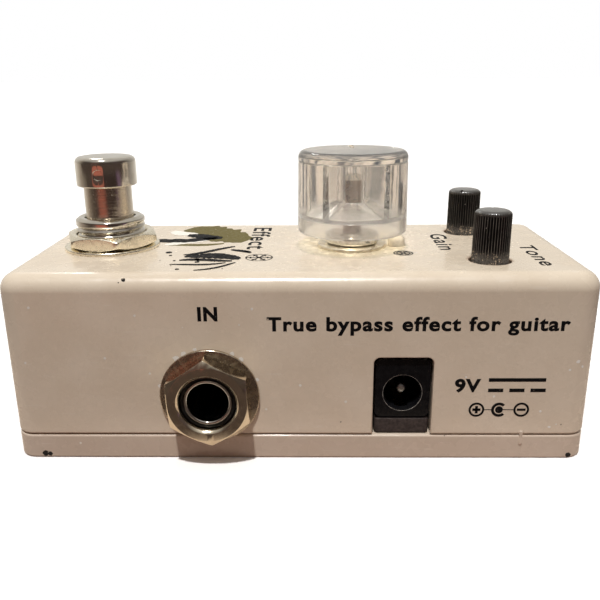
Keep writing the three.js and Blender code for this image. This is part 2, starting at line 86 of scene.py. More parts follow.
# ---- mesh helpers
def arc(x, y, across, tall, start, end, steps):
    """Points of an elliptical arc round (x, y), from start to end degrees."""
    angles = [math.radians(start + (end - start) * k / steps) for k in range(steps + 1)]
    return [Vector((x + across * math.cos(a), y + tall * math.sin(a))) for a in angles]


def rounded(points, steps=4):
    """The outline with an arc at each point that has a third number, the radius of its fillet."""
    out = []
    for i, point in enumerate(points):
        corner = Vector(point[:2])
        if len(point) < 3:
            out.append(corner)
            continue
        before = (Vector(points[i - 1][:2]) - corner).normalized()
        after = (Vector(points[(i + 1) % len(points)][:2]) - corner).normalized()
        half = before.angle(after) / 2
        start = corner + before * point[2] / math.tan(half)
        end = corner + after * point[2] / math.tan(half)
        centre = corner + (before + after).normalized() * point[2] / math.sin(half)
        turn = math.pi - 2 * half
        for k in range(steps + 1):
            first = math.sin((1 - k / steps) * turn) / math.sin(turn)
            second = math.sin(k / steps * turn) / math.sin(turn)
            out.append(centre + (start - centre) * first + (end - centre) * second)
    return out


def skin(bm, low, high):
    """Faces between two rings of vertices. A ring of one vertex is a point."""
    count = max(len(low), len(high))
    for k in range(count):
        after = (k + 1) % count
        if len(low) == 1:
            bm.faces.new((low[0], high[after], high[k]))
        elif len(high) == 1:
            bm.faces.new((low[k], low[after], high[0]))
        else:
            bm.faces.new((low[k], low[after], high[after], high[k]))


def lofted(rings, loops=False):
    """A solid through rings of points. Its two ends are filled, unless it loops round to its first ring
    or its ends are points."""
    bm = bmesh.new()
    made = [[bm.verts.new(point) for point in ring] for ring in rings]
    for low, high in zip(made, made[1:]):
        skin(bm, low, high)
    if loops:
        skin(bm, made[-1], made[0])
    elif len(made[0]) > 1:
        bm.faces.new(made[0])
        bm.faces.new(made[-1])
    bmesh.ops.remove_doubles(bm, verts=bm.verts, dist=1e-4)
    bmesh.ops.recalc_face_normals(bm, faces=bm.faces)
    return bm


def turned(profile, sides=96, shape=None, steps=4):
    """A solid turned about Z. Its profile of (radius, height) points, with fillets as in rounded(), starts
    and ends on the axis or closes on itself. shape(radius, height, angle) is a point's real radius."""
    angles = [2 * math.pi * k / sides for k in range(sides)]
    rings = []
    for radius, height in rounded(profile, steps):
        if radius < 1e-6:
            rings.append([(0, 0, height)])
            continue
        reaches = [shape(radius, height, angle) if shape else radius for angle in angles]
        rings.append([(r * math.cos(a), r * math.sin(a), height) for r, a in zip(reaches, angles)])
    return lofted(rings, loops=len(rings[0]) > 1)


def rod(radius, low, high, sides=96):
    """A cylinder up Z."""
    return turned([(0, low), (radius, low), (radius, high), (0, high)], sides)


def moved(bm, x=0.0, y=0.0, z=0.0):
    bmesh.ops.translate(bm, verts=bm.verts, vec=(x, y, z))
    return bm


def spun(bm, degrees, axis="Z"):
    turn = Matrix.Rotation(math.radians(degrees), 4, axis)
    bmesh.ops.transform(bm, matrix=turn, verts=bm.verts)
    return bm


def mesh_of(bm, name):
    """A mesh that takes over what bm holds."""
    mesh = bpy.data.meshes.new(name)
    bm.to_mesh(mesh)
    bm.free()
    return mesh


def in_scene(name, data):
    obj = bpy.data.objects.new(name, data)
    bpy.context.scene.collection.objects.link(obj)
    return obj


def joined(*parts):
    """One mesh of several, which keep their own faces."""
    whole = bmesh.new()
    for bm in parts:
        mesh = mesh_of(bm, "joined")
        whole.from_mesh(mesh)
        bpy.data.meshes.remove(mesh)
    return whole


def combined(bm, tools, operation):
    """bm after a boolean with each of the tools, which are used up."""
    target, *others = [in_scene("scratch", mesh_of(part, "scratch")) for part in (bm, *tools)]
    for other in others:
        modifier = target.modifiers.new("combine", "BOOLEAN")
        modifier.operation = operation
        modifier.solver = "EXACT"
        modifier.object = other
    bpy.context.view_layer.update()
    evaluated = target.evaluated_get(bpy.context.evaluated_depsgraph_get())
    result = bmesh.new()
    result.from_mesh(evaluated.to_mesh())
    evaluated.to_mesh_clear()
    for obj in [target, *others]:
        mesh = obj.data
        bpy.data.objects.remove(obj)
        bpy.data.meshes.remove(mesh)
    return result


def cut(bm, *tools):
    return combined(bm, tools, "DIFFERENCE")


def fused(bm, *tools):
    return combined(bm, tools, "UNION")


def block(low, high):
    bm = bmesh.new()
    bmesh.ops.create_cube(bm, size=1)
    low, high = Vector(low), Vector(high)
    bmesh.ops.scale(bm, verts=bm.verts, vec=high - low)
    return moved(bm, *((low + high) / 2))


def rectangle(length, width, radius, height, steps=8):
    """Points of a rounded rectangle at a height."""
    x, y = length / 2, width / 2
    corners = [(x, -y, radius), (x, y, radius), (-x, y, radius), (-x, -y, radius)]
    return [(p.x, p.y, height) for p in rounded(corners, steps)]


def slab(length, width, radius, profile, steps=8):
    """A solid with a rounded-rectangle plan. profile is a list of (inset, height), from the bottom up."""
    return lofted([
        rectangle(length - 2 * inset, width - 2 * inset, max(radius - inset, 0.05), height, steps)
        for inset, height in profile
    ])


def edge_round(radius, height, up, steps=6):
    """(inset, height) points of a rounded lower edge, or of an upper one where up is true."""
    if up:
        return arc(radius, height - radius, -radius, radius, 0, 90, steps)
    return arc(radius, height + radius, -radius, -radius, 90, 0, steps)


def piece(name, bm, material, slot, node=None, body=CHASSIS, bevel=0.0, angle=35):
    """Makes bm, which is drawn in millimetres, into a piece that rides on a CAD body and, where node is
    given, replaces that CAD node."""
    mesh = mesh_of(bm, name)
    mesh.transform(Matrix.Scale(MM, 4))
    mesh.materials.append(material)
    mesh.shade_smooth()
    mesh.set_sharp_from_angle(angle=math.radians(angle))
    obj = in_scene(name, mesh)
    if bevel:
        modifier = obj.modifiers.new("edges", "BEVEL")
        modifier.width = bevel * MM
        modifier.segments = 2
        modifier.limit_method = "ANGLE"
        modifier.angle_limit = math.radians(angle)
    obj.modifiers.new("normals", "WEIGHTED_NORMAL").keep_sharp = not bevel
    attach(obj, body)
    if node:
        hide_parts(node)
    return obj


# ---- material helpers
def feed(socket, value):
    """Gives an input socket a value or a colour, or links it to an output socket."""
    if isinstance(value, bpy.types.NodeSocket):
        socket.id_data.links.new(value, socket)
    elif isinstance(value, tuple) and socket.type == "RGBA":
        socket.default_value = (*value, 1)
    else:
        socket.default_value = value


def add(tree, kind, inputs=None, **settings):
    """A node with its settings. inputs are its sockets by name or number, each a value or a socket."""
    made = tree.nodes.new(kind)
    for key, value in settings.items():
        setattr(made, key, value)
    for key, value in (inputs or {}).items():
        feed(made.inputs[key], value)
    return made


def tree_of(*values):
    """The node tree of the sockets among values."""
    return next(value.id_data for value in values if isinstance(value, bpy.types.NodeSocket))


def maths(operation, *values):
    inputs = dict(enumerate(values))
    return add(tree_of(*values), "ShaderNodeMath", inputs, operation=operation).outputs[0]


def times(*values):
    return maths("MULTIPLY", *values)


def vectors(operation, *values):
    """Vector maths. The result is a number where the operation is a distance or a length."""
    inputs = dict(enumerate(values))
    outputs = add(tree_of(*values), "ShaderNodeVectorMath", inputs, operation=operation).outputs
    return outputs["Value" if operation in ("DISTANCE", "LENGTH") else "Vector"]


def axes(place):
    """A vector's X, Y and Z."""
    return add(place.id_data, "ShaderNodeSeparateXYZ", {0: place}).outputs


def grade(value, start, end, low=0.0, high=1.0):
    """value from start to end, turned smoothly into low to high."""
    inputs = {0: value, 1: start, 2: end, 3: low, 4: high}
    return add(value.id_data, "ShaderNodeMapRange", inputs, interpolation_type="SMOOTHSTEP").outputs[0]


def blended(share, first, second):
    """A colour between two, by share."""
    mix = add(tree_of(share, first, second), "ShaderNodeMix", data_type="RGBA")
    for number, value in ((0, share), (6, first), (7, second)):
        feed(mix.inputs[number], value)
    return mix.outputs[2]


def cloudy(place, scale, detail=3.0, stretch=None):
    """Noise with scale features to the millimetre. stretch squeezes it along an axis."""
    if stretch:
        place = vectors("MULTIPLY", place, stretch)
    inputs = {"Vector": place, "Scale": scale, "Detail": detail}
    return add(place.id_data, "ShaderNodeTexNoise", inputs).outputs[0]


def patchy(place, scale, detail, start, end, low=0.0, high=1.0):
    """Patches that turn smoothly from low to high, where noise goes from start to end."""
    return grade(cloudy(place, scale, detail), start, end, low, high)


def specks(place, scale, size, share):
    """Round specks, scale to the millimetre: size is their radius in cells, share how many cells have one."""
    tree = place.id_data
    cells = add(tree, "ShaderNodeTexVoronoi", {"Vector": place, "Scale": scale})
    luck, reach, _ = add(tree, "ShaderNodeSeparateColor", {0: cells.outputs["Color"]}).outputs
    inside = maths("LESS_THAN", cells.outputs["Distance"], times(reach, size))
    return times(inside, maths("LESS_THAN", luck, share))


def bumped(height, depth, normal=None):
    """A normal from a height, whose step from 0 to 1 is depth millimetres."""
    inputs = {"Height": height, "Distance": depth * MM, "Strength": 1.0}
    if normal:
        inputs["Normal"] = normal
    return add(height.id_data, "ShaderNodeBump", inputs).outputs[0]


def emptied(owner):
    """The node tree of a material or a world, with nothing in it."""
    owner.use_nodes = True
    owner.node_tree.nodes.clear()
    return owner.node_tree


def material(name):
    """A material, its Principled shader and the place on the piece in millimetres."""
    made = bpy.data.materials.new(name)
    tree = emptied(made)
    output = add(tree, "ShaderNodeOutputMaterial")
    shader = add(tree, "ShaderNodeBsdfPrincipled")
    tree.links.new(shader.outputs[0], output.inputs[0])
    where = add(tree, "ShaderNodeTexCoord").outputs["Object"]
    scaled = add(tree, "ShaderNodeVectorMath", {0: where, "Scale": 1 / MM}, operation="SCALE")
    return made, shader, scaled.outputs[0]


def wire(shader, **values):
    """Sets the shader's inputs. An underscore in a key stands for a space."""
    for key, value in values.items():
        feed(shader.inputs[key.replace("_", " ")], value)


def near(place, centre, radius, ragged):
    """1 within radius of a point, with a ragged edge."""
    away = vectors("DISTANCE", place, centre)
    torn = maths("MULTIPLY_ADD", cloudy(place, 3.0), ragged * 2 * radius, -ragged * radius)
    return maths("LESS_THAN", maths("ADD", away, torn), radius)


# ---- materials
CREAM = (0.79, 0.69, 0.555)
# A darker copy of the cream: painted shade on the base.
SHADED_CREAM = (0.66, 0.56, 0.46)
PRIMER = (0.01, 0.008, 0.007)
# Bare metal in the nick marks, and painted highlights on the paint ridges by the input jack.
BARE_EDGE_AND_GLINT = (0.93, 0.9, 0.84)
DUST = (0.9, 0.86, 0.78)
GREY_DUST = (0.5, 0.47, 0.42)


def enamel(name, tone, chips, pale_spots=(), knob_rings=()):
    """Glossy cream enamel: orange peel, faint blotches, dust, scuffs, dark rings round the knobs (the large
    knob's is a painted shadow), pale nick marks, painted highlights on paint ridges, and chips down to dark
    metal."""
    made, shader, place = material(name)
    faded = tuple(part * fade for part, fade in zip(tone, (0.945, 0.93, 0.91)))
    colour = blended(patchy(place, 0.11, 4.0, 0.3, 0.7), tone, faded)
    dust = specks(place, 0.55, 0.13, 0.22)
    colour = blended(dust, colour, DUST)
    pits = specks(place, 0.17, 0.035, 0.25)
    colour = blended(pits, colour, (0.2, 0.16, 0.12))
    scuffs = grade(cloudy(place, 1.5, 5.0, (0.12, 0.12, 1.6)), 0.66, 0.72, 0.0, 0.25)
    colour = blended(scuffs, colour, (0.86, 0.8, 0.7))
    # Dark rings round the knobs: a painted shadow round the large knob, darker brown towards the small knobs'
    # holes.
    for centre, inner, outer, dirt in knob_rings:
        out = vectors("DISTANCE", place, centre)
        ragged = maths("MULTIPLY_ADD", cloudy(place, 1.6, 4.0), outer - inner, out)
        share = grade(ragged, inner, outer + 0.5 * (outer - inner), 1.0, 0.0)
        colour = blended(share, colour, dirt)
    nicked_and_glinting, chipped = 0.0, 0.0
    # Pale spots: nick marks down to bare metal, and painted highlights on paint ridges.
    for centre, radius in pale_spots:
        nicked_and_glinting = maths("MAXIMUM", near(place, centre, radius, 0.8), nicked_and_glinting)
    for centre, radius in chips:
        chipped = maths("MAXIMUM", near(place, centre, radius, 0.6), chipped)
    colour = blended(nicked_and_glinting, colour, BARE_EDGE_AND_GLINT)
    colour = blended(chipped, colour, PRIMER)
    roughness = patchy(place, 0.35, 4.0, 0.3, 0.75, 0.2, 0.36)
    roughness = maths("MAXIMUM", roughness, times(chipped, 0.9))
    peel = bumped(cloudy(place, 0.9, 1.5), 0.012)
    grain = bumped(cloudy(place, 9.0, 2.0), 0.0012, peel)
    relief = maths("SUBTRACT", maths("MAXIMUM", dust, nicked_and_glinting), chipped)
    wire(shader, Base_Color=colour, Roughness=roughness, Normal=bumped(relief, 0.03, grain))
    wire(shader, Coat_Weight=maths("MULTIPLY_ADD", chipped, -0.25, 0.25), Coat_Roughness=0.08)
    return made


def plated(name, colour, rough, grime=0.35, dirt=0.7, lines=None, depth=0.0015):
    """Plated metal with fine scratches, tarnish and dirt. lines are turning marks to the millimetre, up Z."""
    made, shader, place = material(name)
    warm = tuple(part * tint for part, tint in zip(colour, (0.55, 0.47, 0.36)))
    tone = blended(patchy(place, 0.55, 5.0, 0.42, 0.72, 0.0, grime), colour, warm)
    tone = blended(times(specks(place, 2.2, 0.22, 0.16), dirt), tone, (0.12, 0.1, 0.08))
    roughness = patchy(place, 1.2, 3.0, 0.25, 0.8, rough * 0.7, rough * 1.6)
    normal = bumped(cloudy(place, 6.0, 3.0, (1.0, 0.15, 0.4)), depth)
    if lines:
        inputs = {"W": times(axes(place)[2], lines), "Detail": 1.0}
        marks = add(made.node_tree, "ShaderNodeTexNoise", inputs, noise_dimensions="1D").outputs[0]
        normal = bumped(marks, 0.009, normal)
    wire(shader, Base_Color=tone, Metallic=1.0, Roughness=roughness, Normal=normal)
    return made


def clear_plastic(name, tint, rough, haze, frost=None):
    """Clear acrylic with handling marks and some haze, and frosted below the height frost. Lamps shine
    through it, a little weaker."""
    made, shader, place = material(name)
    roughness = patchy(place, 0.8, 6.0, 0.45, 0.8, rough, rough + 0.1)
    milky = patchy(place, 0.5, 4.0, 0.3, 0.75, haze * 0.6, haze * 1.4)
    if frost:
        frosted = times(grade(axes(place)[2], frost, frost - 1.2), cloudy(place, 3.5, 5.0))
        roughness = maths("MULTIPLY_ADD", frosted, 0.25, roughness)
        milky = maths("MULTIPLY_ADD", frosted, 0.16, milky)
    ripple = bumped(cloudy(place, 0.35, 2.0), 0.02)
    hair = bumped(cloudy(place, 4.0, 3.0, (1.0, 1.0, 0.2)), 0.0006, ripple)
    wire(shader, Base_Color=tint, Roughness=roughness, Normal=hair, IOR=1.49)
    wire(shader, Transmission_Weight=maths("SUBTRACT", 1.0, milky))
    tree = made.node_tree
    through = add(tree, "ShaderNodeBsdfTransparent", {0: (0.86, 0.84, 0.8)})
    shadow = add(tree, "ShaderNodeLightPath").outputs["Is Shadow Ray"]
    mix = add(tree, "ShaderNodeMixShader", {0: shadow, 1: shader.outputs[0], 2: through.outputs[0]})
    output = next(node for node in tree.nodes if node.type == "OUTPUT_MATERIAL")
    tree.links.new(mix.outputs[0], output.inputs[0])
    return made


def knob_plastic(name, knob, rib_glint):
    """Black moulded plastic: painted highlights make the ribs' crests pale, as strongly as the last argument
    says; a painted sheen lightens the crown, and dust gathers at the foot.
    """
    made, shader, place = material(name)
    x, y, up = axes(vectors("SUBTRACT", place, knob.mid))
    turn = times(maths("ARCTAN2", y, x), KNOB_RIBS)
    # Painted highlights: pale streaks on the ribs' crests, in patches.
    crest = grade(maths("COSINE", turn), 0.7, 1.0)
    shoulder, foot = knob.size.z / 2 - 0.7, TOP - knob.mid.z
    sides = grade(up, shoulder, shoulder - 0.3)
    glint_patches = patchy(place, 0.7, 4.0, 0.3, 0.7, 0.4 * rib_glint, rib_glint)
    crest = times(times(crest, sides), glint_patches)
    # Painted sheen: the crown is drawn paler than the sides.
    crown = maths("MULTIPLY_ADD", sides, -0.12, 0.12)
    low = grade(up, foot + 0.2, foot + 2.2, 1.0, 0.0)
    dust_and_sheen = times(low, patchy(place, 3.5, 5.0, 0.3, 0.6, 0.165, 0.55))
    # The pale layer: dust at the foot, with the painted highlights and sheen.
    dust_and_sheen = maths("MAXIMUM", dust_and_sheen, maths("MAXIMUM", crest, crown))
    colour = blended(dust_and_sheen, (0.002, 0.002, 0.002), (0.36, 0.33, 0.29))
    colour = blended(specks(place, 2.6, 0.2, 0.1), colour, GREY_DUST)
    lint = times(specks(place, 3.2, 0.5, 0.8), low)
    colour = blended(lint, colour, (0.8, 0.64, 0.46))
    roughness = patchy(place, 3.0, 4.0, 0.3, 0.7, 0.28, 0.4)
    normal = bumped(cloudy(place, 12.0, 3.0), 0.002)
    wire(shader, Base_Color=colour, Roughness=roughness, Normal=normal)
    wire(shader, Specular_IOR_Level=maths("MULTIPLY_ADD", sides, -0.5, 0.75))
    wire(shader, Coat_Weight=maths("MULTIPLY_ADD", sides, -0.9, 0.9), Coat_Roughness=0.12)
    return made


def moulded(name, colour, other, rough, scale=1.2, depth=0.004):
    """A plain moulded or printed stock: two close tones, uneven gloss and a fine grain."""
    made, shader, place = material(name)
    tone = blended(patchy(place, scale, 5.0, 0.35, 0.68), colour, other)
    tone = blended(times(specks(place, 1.8, 0.15, 0.06), 0.5), tone, (0.45, 0.42, 0.37))
    roughness = patchy(place, 2.2, 4.0, 0.3, 0.7, rough * 0.8, rough * 1.25)
    normal = bumped(cloudy(place, 10.0, 3.0), depth)
    wire(shader, Base_Color=tone, Roughness=roughness, Normal=normal, Specular_IOR_Level=0.3)
    return made


def circuit_board(name):
    """Green solder mask over copper tracks, with tinned pads."""
    made, shader, place = material(name)
    flat = vectors("MULTIPLY", place, (1, 1, 0))
    tracks = add(made.node_tree, "ShaderNodeTexBrick", {
        "Vector": flat, "Scale": 0.26, "Mortar Size": 0.03, "Brick Width": 0.9, "Row Height": 0.35,
    }).outputs["Fac"]
    mask = blended(patchy(place, 1.4, 2.0, 0.3, 0.7), (0.012, 0.075, 0.03), (0.018, 0.1, 0.042))
    mask = blended(times(tracks, 0.8), mask, (0.05, 0.2, 0.07))
    pads = specks(flat, 0.39, 0.45, 0.5)
    colour = blended(pads, mask, (0.62, 0.6, 0.56))
    height = maths("ADD", tracks, pads)
    wire(shader, Base_Color=colour, Metallic=pads, Roughness=0.32)
    wire(shader, Normal=bumped(height, 0.03), Coat_Weight=0.4)
    return made


def print_ink(name, colour):
    """Screen-printed ink, with pinholes and a thin, worn edge."""
    made, shader, place = material(name)
    worn = tuple((ink + paint) / 2 for ink, paint in zip(colour, CREAM))
    tone = blended(patchy(place, 2.4, 6.0, 0.6, 0.78, 0.0, 0.5), colour, worn)
    tone = blended(times(specks(place, 1.3, 0.16, 0.1), 0.8), tone, CREAM)
    roughness = patchy(place, 1.5, 4.0, 0.3, 0.7, 0.5, 0.7)
    wire(shader, Base_Color=tone, Roughness=roughness, Specular_IOR_Level=0.12)
    wire(shader, Normal=bumped(cloudy(place, 7.0, 2.0), 0.003))
    return made


# Chips through the paint: (centre, radius) of each, in millimetres.
SHELL_CHIPS = [
    ((-26.6, -19.4, 30.6), 0.45),
    ((-27.4, -19.7, 30.1), 0.2),
    ((45.6, -18.6, 9.6), 0.3),
    ((38.5, 19.9, 29.9), 0.4),
    ((-46.4, 8.0, 29.6), 0.5),
]
SHELL_NICKS = [
    ((43.8, -20.0, 17.1), 0.3),
    ((42.6, -20.0, 15.7), 0.2),
    ((44.6, -19.9, 16.2), 0.22),
    ((26.5, -20.0, 14.5), 0.16),
    ((38.7, -20.0, 8.5), 0.2),
    ((40.4, -20.0, 5.7), 0.22),
    ((-7.0, -20.0, 25.9), 0.2),
    ((-9.1, -20.0, 23.3), 0.12),
    ((41.5, -20.0, 6.2), 0.14),
]
# Painted highlights on the paint ridges round the input jack's washer, drawn as pale spots: (degrees, radius)
# of each.
RIDGE_GLINTS = [(128, 0.5), (118, 0.42), (104, 0.3), (62, 0.34), (50, 0.4), (20, 0.3), (168, 0.3)]
RIDGE_RADIUS = 8.15
# Dark rings on the paint round the knobs: (centre, inner radius, outer radius, colour). The large knob's is a
# painted shadow of the clear knob; the small knobs' are darker brown towards their holes.
DARK_BROWN_RING = (0.3, 0.16, 0.08)
SHELL_KNOB_RINGS = [
    # Painted shadow of the clear knob on the paint round it.
    ((dial_body.mid.x, dial_body.mid.y, TOP), 9.8, 10.2, (0.57, 0.5, 0.375)),
    ((tone.mid.x, tone.mid.y, TOP), 3.4, 4.0, DARK_BROWN_RING),
    ((gain.mid.x, gain.mid.y, TOP), 3.4, 4.0, DARK_BROWN_RING),
]
BASE_CHIPS = [
    ((-42.0, -20.0, 0.8), 0.5),
    ((-41.2, -20.0, 0.7), 0.4),
    ((44.0, -19.9, 0.6), 0.45),
    ((46.6, 6.0, 0.8), 0.4),
]


# Where the painted highlights on the paint ridges round the input jack's washer go.
def ridge_glints():
    jack = jacks["input"][0].mid
    pale_spots = []
    for degrees, radius in RIDGE_GLINTS:
        across, up = math.cos(math.radians(degrees)), math.sin(math.radians(degrees))
        pale_spots.append(((jack.x + RIDGE_RADIUS * across, FRONT, jack.z + RIDGE_RADIUS * up), radius))
    return pale_spots


shell_enamel = enamel("shell_enamel", CREAM, SHELL_CHIPS, SHELL_NICKS + ridge_glints(), SHELL_KNOB_RINGS)
# The base takes the darker cream, which paints shade on it.
base_enamel = enamel("base_enamel", SHADED_CREAM, BASE_CHIPS)
nickel = plated("nickel", (0.8, 0.76, 0.68), 0.11, 0.2, 0.3)
bright_nickel = plated("bright_nickel", (0.82, 0.8, 0.75), 0.1, 0.15, 0.2)
turned_steel = plated("turned_steel", (0.74, 0.67, 0.57), 0.18, 0.08, 0.0, lines=2.6, depth=0.0002)
dull_steel = plated("dull_steel", (0.3, 0.24, 0.2), 0.3, 0.5, 0.3)
foot_nickel = plated("foot_nickel", (1.0, 0.93, 0.77), 0.22, 0.04, 0.1, depth=0.0003)
dark_nickel = plated("dark_nickel", (0.86, 0.76, 0.6), 0.14, 0.18, 0.35)
satin_nickel = plated("satin_nickel", (0.86, 0.8, 0.68), 0.36, 0.15, 0.1, depth=0.0003)
aged_nickel = plated("aged_nickel", (0.55, 0.47, 0.37), 0.24, 0.35, 0.75, depth=0.0008)
steel = plated("steel", (0.5, 0.5, 0.5), 0.3)
brass = plated("brass", (0.62, 0.45, 0.18), 0.25)
acrylic = clear_plastic("acrylic", (0.985, 0.98, 0.97), 0.02, 0.035, frost=39.0)
led_lens = clear_plastic("led_lens", (0.93, 0.87, 0.76), 0.1, 0.5)
socket_plastic = moulded("socket_plastic", (0.004, 0.004, 0.005), (0.008, 0.008, 0.009), 0.22)
jack_plastic = moulded("jack_plastic", (0.006, 0.006, 0.006), (0.012, 0.011, 0.01), 0.35)
pot_plastic = moulded("pot_plastic", (0.012, 0.012, 0.013), (0.022, 0.021, 0.021), 0.5)
# Pale grey plastic: a painted highlight on the rim of the power socket's hole.
rim_highlight_plastic = moulded("rim_highlight_plastic", (0.2, 0.19, 0.17), (0.6, 0.56, 0.5), 0.3, 1.5)
rubber = moulded("rubber", (0.04, 0.03, 0.028), (0.07, 0.055, 0.05), 0.7, 2.5, 0.03)
switch_blue = moulded("switch_blue", (0.02, 0.05, 0.2), (0.028, 0.065, 0.24), 0.45)
sleeve_red = moulded("sleeve_red", (0.32, 0.03, 0.02), (0.4, 0.05, 0.035), 0.5)
sleeve_blue = moulded("sleeve_blue", (0.02, 0.03, 0.12), (0.03, 0.045, 0.16), 0.3)
green_board = circuit_board("green_board")
black_ink = print_ink("black_ink", (0.004, 0.004, 0.005))
olive_ink = print_ink("olive_ink", (0.15, 0.125, 0.045))
white_ink = print_ink("white_ink", (0.88, 0.84, 0.76))


# ---- fasteners
def hexagon(flats, round_radius, per_side=10):
    """Points of a hexagon with rounded corners, close enough together to bend along a chamfer."""
    reach = flats / math.sqrt(3)
    rough = rounded([(*corner, round_radius) for corner in arc(0, 0, reach, reach, 0, 300, 5)])
    fine = []
    for point, after in zip(rough, rough[1:] + rough[:1]):
        steps = max(1, round((after - point).length / (reach / per_side)))
        fine += [point.lerp(after, k / steps) for k in range(steps)]
    return fine


def hex_nut(flats, hole, countersink, bottom, top, both=False, slope=0.55):
    """A nut whose corners are turned off at the top, and at the bottom where both is true, with the
    crests and grooves of its thread."""
    outline = hexagon(flats, HEX_ROUND)
    face, groove, half_pitch = flats / 2 - 0.15, 0.16, 0.28

    def ring(radius, height):
        return [(*(p.normalized() * min(radius, p.length)), height) for p in outline]

    def side(height, direction):
        return [(p.x, p.y, height + direction * slope * max(0.0, p.length - face)) for p in outline]

    sill = top - (countersink - hole)
    count = int((sill - bottom) / half_pitch) + 1
    return lofted([
        ring(hole, bottom),
        ring(face, bottom) if both else [(p.x, p.y, bottom) for p in outline],
        side(bottom, 1) if both else [(p.x, p.y, bottom + 0.02) for p in outline],
        side(top, -1),
        ring(face, top),
        ring(countersink, top),
        *[ring(hole + groove * (k % 2), sill - half_pitch * k) for k in range(count)],
    ], loops=True)


def flat_washer(inner, outer, bottom, top, edge=0.12):
    """A stamped washer: its upper edge is rounded over, and its lower edge is sharp."""
    return turned([(inner, bottom), (outer, bottom), (outer, top, edge * 1.6), (inner, top, edge)])


def thread(pitch, depth, bottom, top, outer):
    """A shape for turned(): a helical groove of that pitch on the outer face between two heights."""
    def radius_at(radius, height, angle):
        if radius < outer - 1e-3 or not bottom < height < top:
            return radius
        turn = (height / pitch - angle / (2 * math.pi)) % 1
        fade = min(1, (height - bottom) / pitch, (top - height) / pitch)
        return radius - depth * fade * (1 - abs(2 * turn - 1)) ** 1.3
    return radius_at


def steps_between(low, high, pitch, per_turn=12):
    """Heights from low to high, close enough for a thread."""
    count = max(2, round((high - low) / pitch * per_turn))
    return [low + (high - low) * k / count for k in range(count + 1)]


# ---- enclosure and base
def panel_hole(x, y, radius, edge):
    """A tool for a round hole in the top, with its rim eased by edge."""
    below, above = TOP - 2 * WALL, TOP + 1
    rim = arc(radius + edge, TOP - edge, -edge, edge, 0, 90, 6)
    return moved(turned([(0, below), (radius, below), *rim, (radius + edge, above), (0, above)], 72), x, y)


def socket_slot():
    """A tool for the power socket's slot: it is open at the bottom, and its rim is eased."""
    bottom, top, width, ease = -3, 17.7, 9.4, 0.28
    rings = []
    for out, y in [(0, 4), (0, ease), (0.08, 0.08), (ease, 0), (ease, -2)]:
        x = width / 2 + out
        corners = [(-x, bottom), (x, bottom), (x, top + out, 1 + out), (-x, top + out, 1 + out)]
        rings.append([(socket.mid.x + p.x, FRONT + y, p.y) for p in rounded(corners, 8)])
    return lofted(rings)


def side_hole(x, z, side):
    """A tool for a jack's hole through the wall on that side (-1 front, +1 back)."""
    return moved(spun(rod(4.75, -3, 3, 64), 90, "X"), x, side * (shell.high.y - 1), z)


def enclosure():
    length, width = shell.size.x, shell.size.y
    profile = edge_round(LIP, shell.low.z, up=False) + edge_round(CROWN, TOP, up=True, steps=14)
    outside = slab(length, width, CORNER, profile, 12)
    hollow = [(0.3, shell.low.z - 1), (0.3, TOP - WALL - 0.6), (0.9, TOP - WALL)]
    body = cut(outside, slab(length - 2 * WALL, width - 2 * WALL, 1.5, hollow))
    axis, bore, post, roof, foot, top = 0.01, 1.7, 3.4, 14, shell.low.z, TOP - 1
    posts = []
    for screw in screws:
        made = turned([(axis, top), (post, top), (post, foot), (bore, foot), (bore, roof), (axis, roof)], 32)
        posts.append(moved(made, screw.mid.x, screw.mid.y))
    body = fused(body, *posts)
    holes = [
        (foot_cap, 6.0, 0.1), (dial_body, 3.5, 0.1), (tone, 3.4, 0.25), (gain, 3.4, 0.25), (led, 1.6, 0.15),
    ]
    tools = [panel_hole(place.mid.x, place.mid.y, radius, edge) for place, radius, edge in holes]
    tools += [socket_slot(), *[side_hole(jack.mid.x, jack.mid.z, side) for jack, side in jacks.values()]]
    piece("enclosure", cut(body, *tools), shell_enamel, "enclosure_paint", "enclosure_shell")


def paint_run():
    """A drop of paint that ran over the seam and dried on the base."""
    place, proud, flatness = 36.0, 0.02, 0.6
    drop = turned([(0, 2.4), (0.35, 2.7, 0.3), (0.22, 3.9, 1), (0.32, 4.9, 0.25), (0, 5.1)], 24)
    bmesh.ops.scale(drop, verts=drop.verts, vec=(1, flatness, 1))
    piece("paint_run", moved(drop, place, FRONT + proud), base_enamel, "enclosure_paint")


def base_cover():
    """A tray with a boss and a countersunk hole for each screw."""
    length, width, height = base.size.x, base.size.y, base.high.z
    rim, floor_top, boss, head, bore = 2.5, 1.6, 4.0, 3.3, 1.7
    profile = edge_round(0.35, 0, up=False) + edge_round(LIP, height, up=True)
    plate = slab(length, width, CORNER, profile, 12)
    hollow = [(0.4, floor_top), (0, floor_top + 0.4), (0, height + 5)]
    tray = cut(plate, slab(length - 2 * rim, width - 2 * rim, 1.5, hollow))
    bosses, holes = [], []
    for screw in screws:
        stud = turned([(0, 0.5), (boss, 0.5), (boss, height - 0.05, 0.3), (0, height - 0.05)], 32)
        bosses.append(moved(stud, screw.mid.x, screw.mid.y))
        hole = turned([
            (0, -1), (head, -1), (head, 0), (head - 0.25, 0.25), (head - 0.25, 0.35), (bore, bore),
            (bore, 6), (0, 6),
        ], 48)
        holes.append(moved(hole, screw.mid.x, screw.mid.y))
    body = cut(fused(tray, *bosses), *holes)
    piece("base_cover", body, base_enamel, "enclosure_paint", "base_plate")


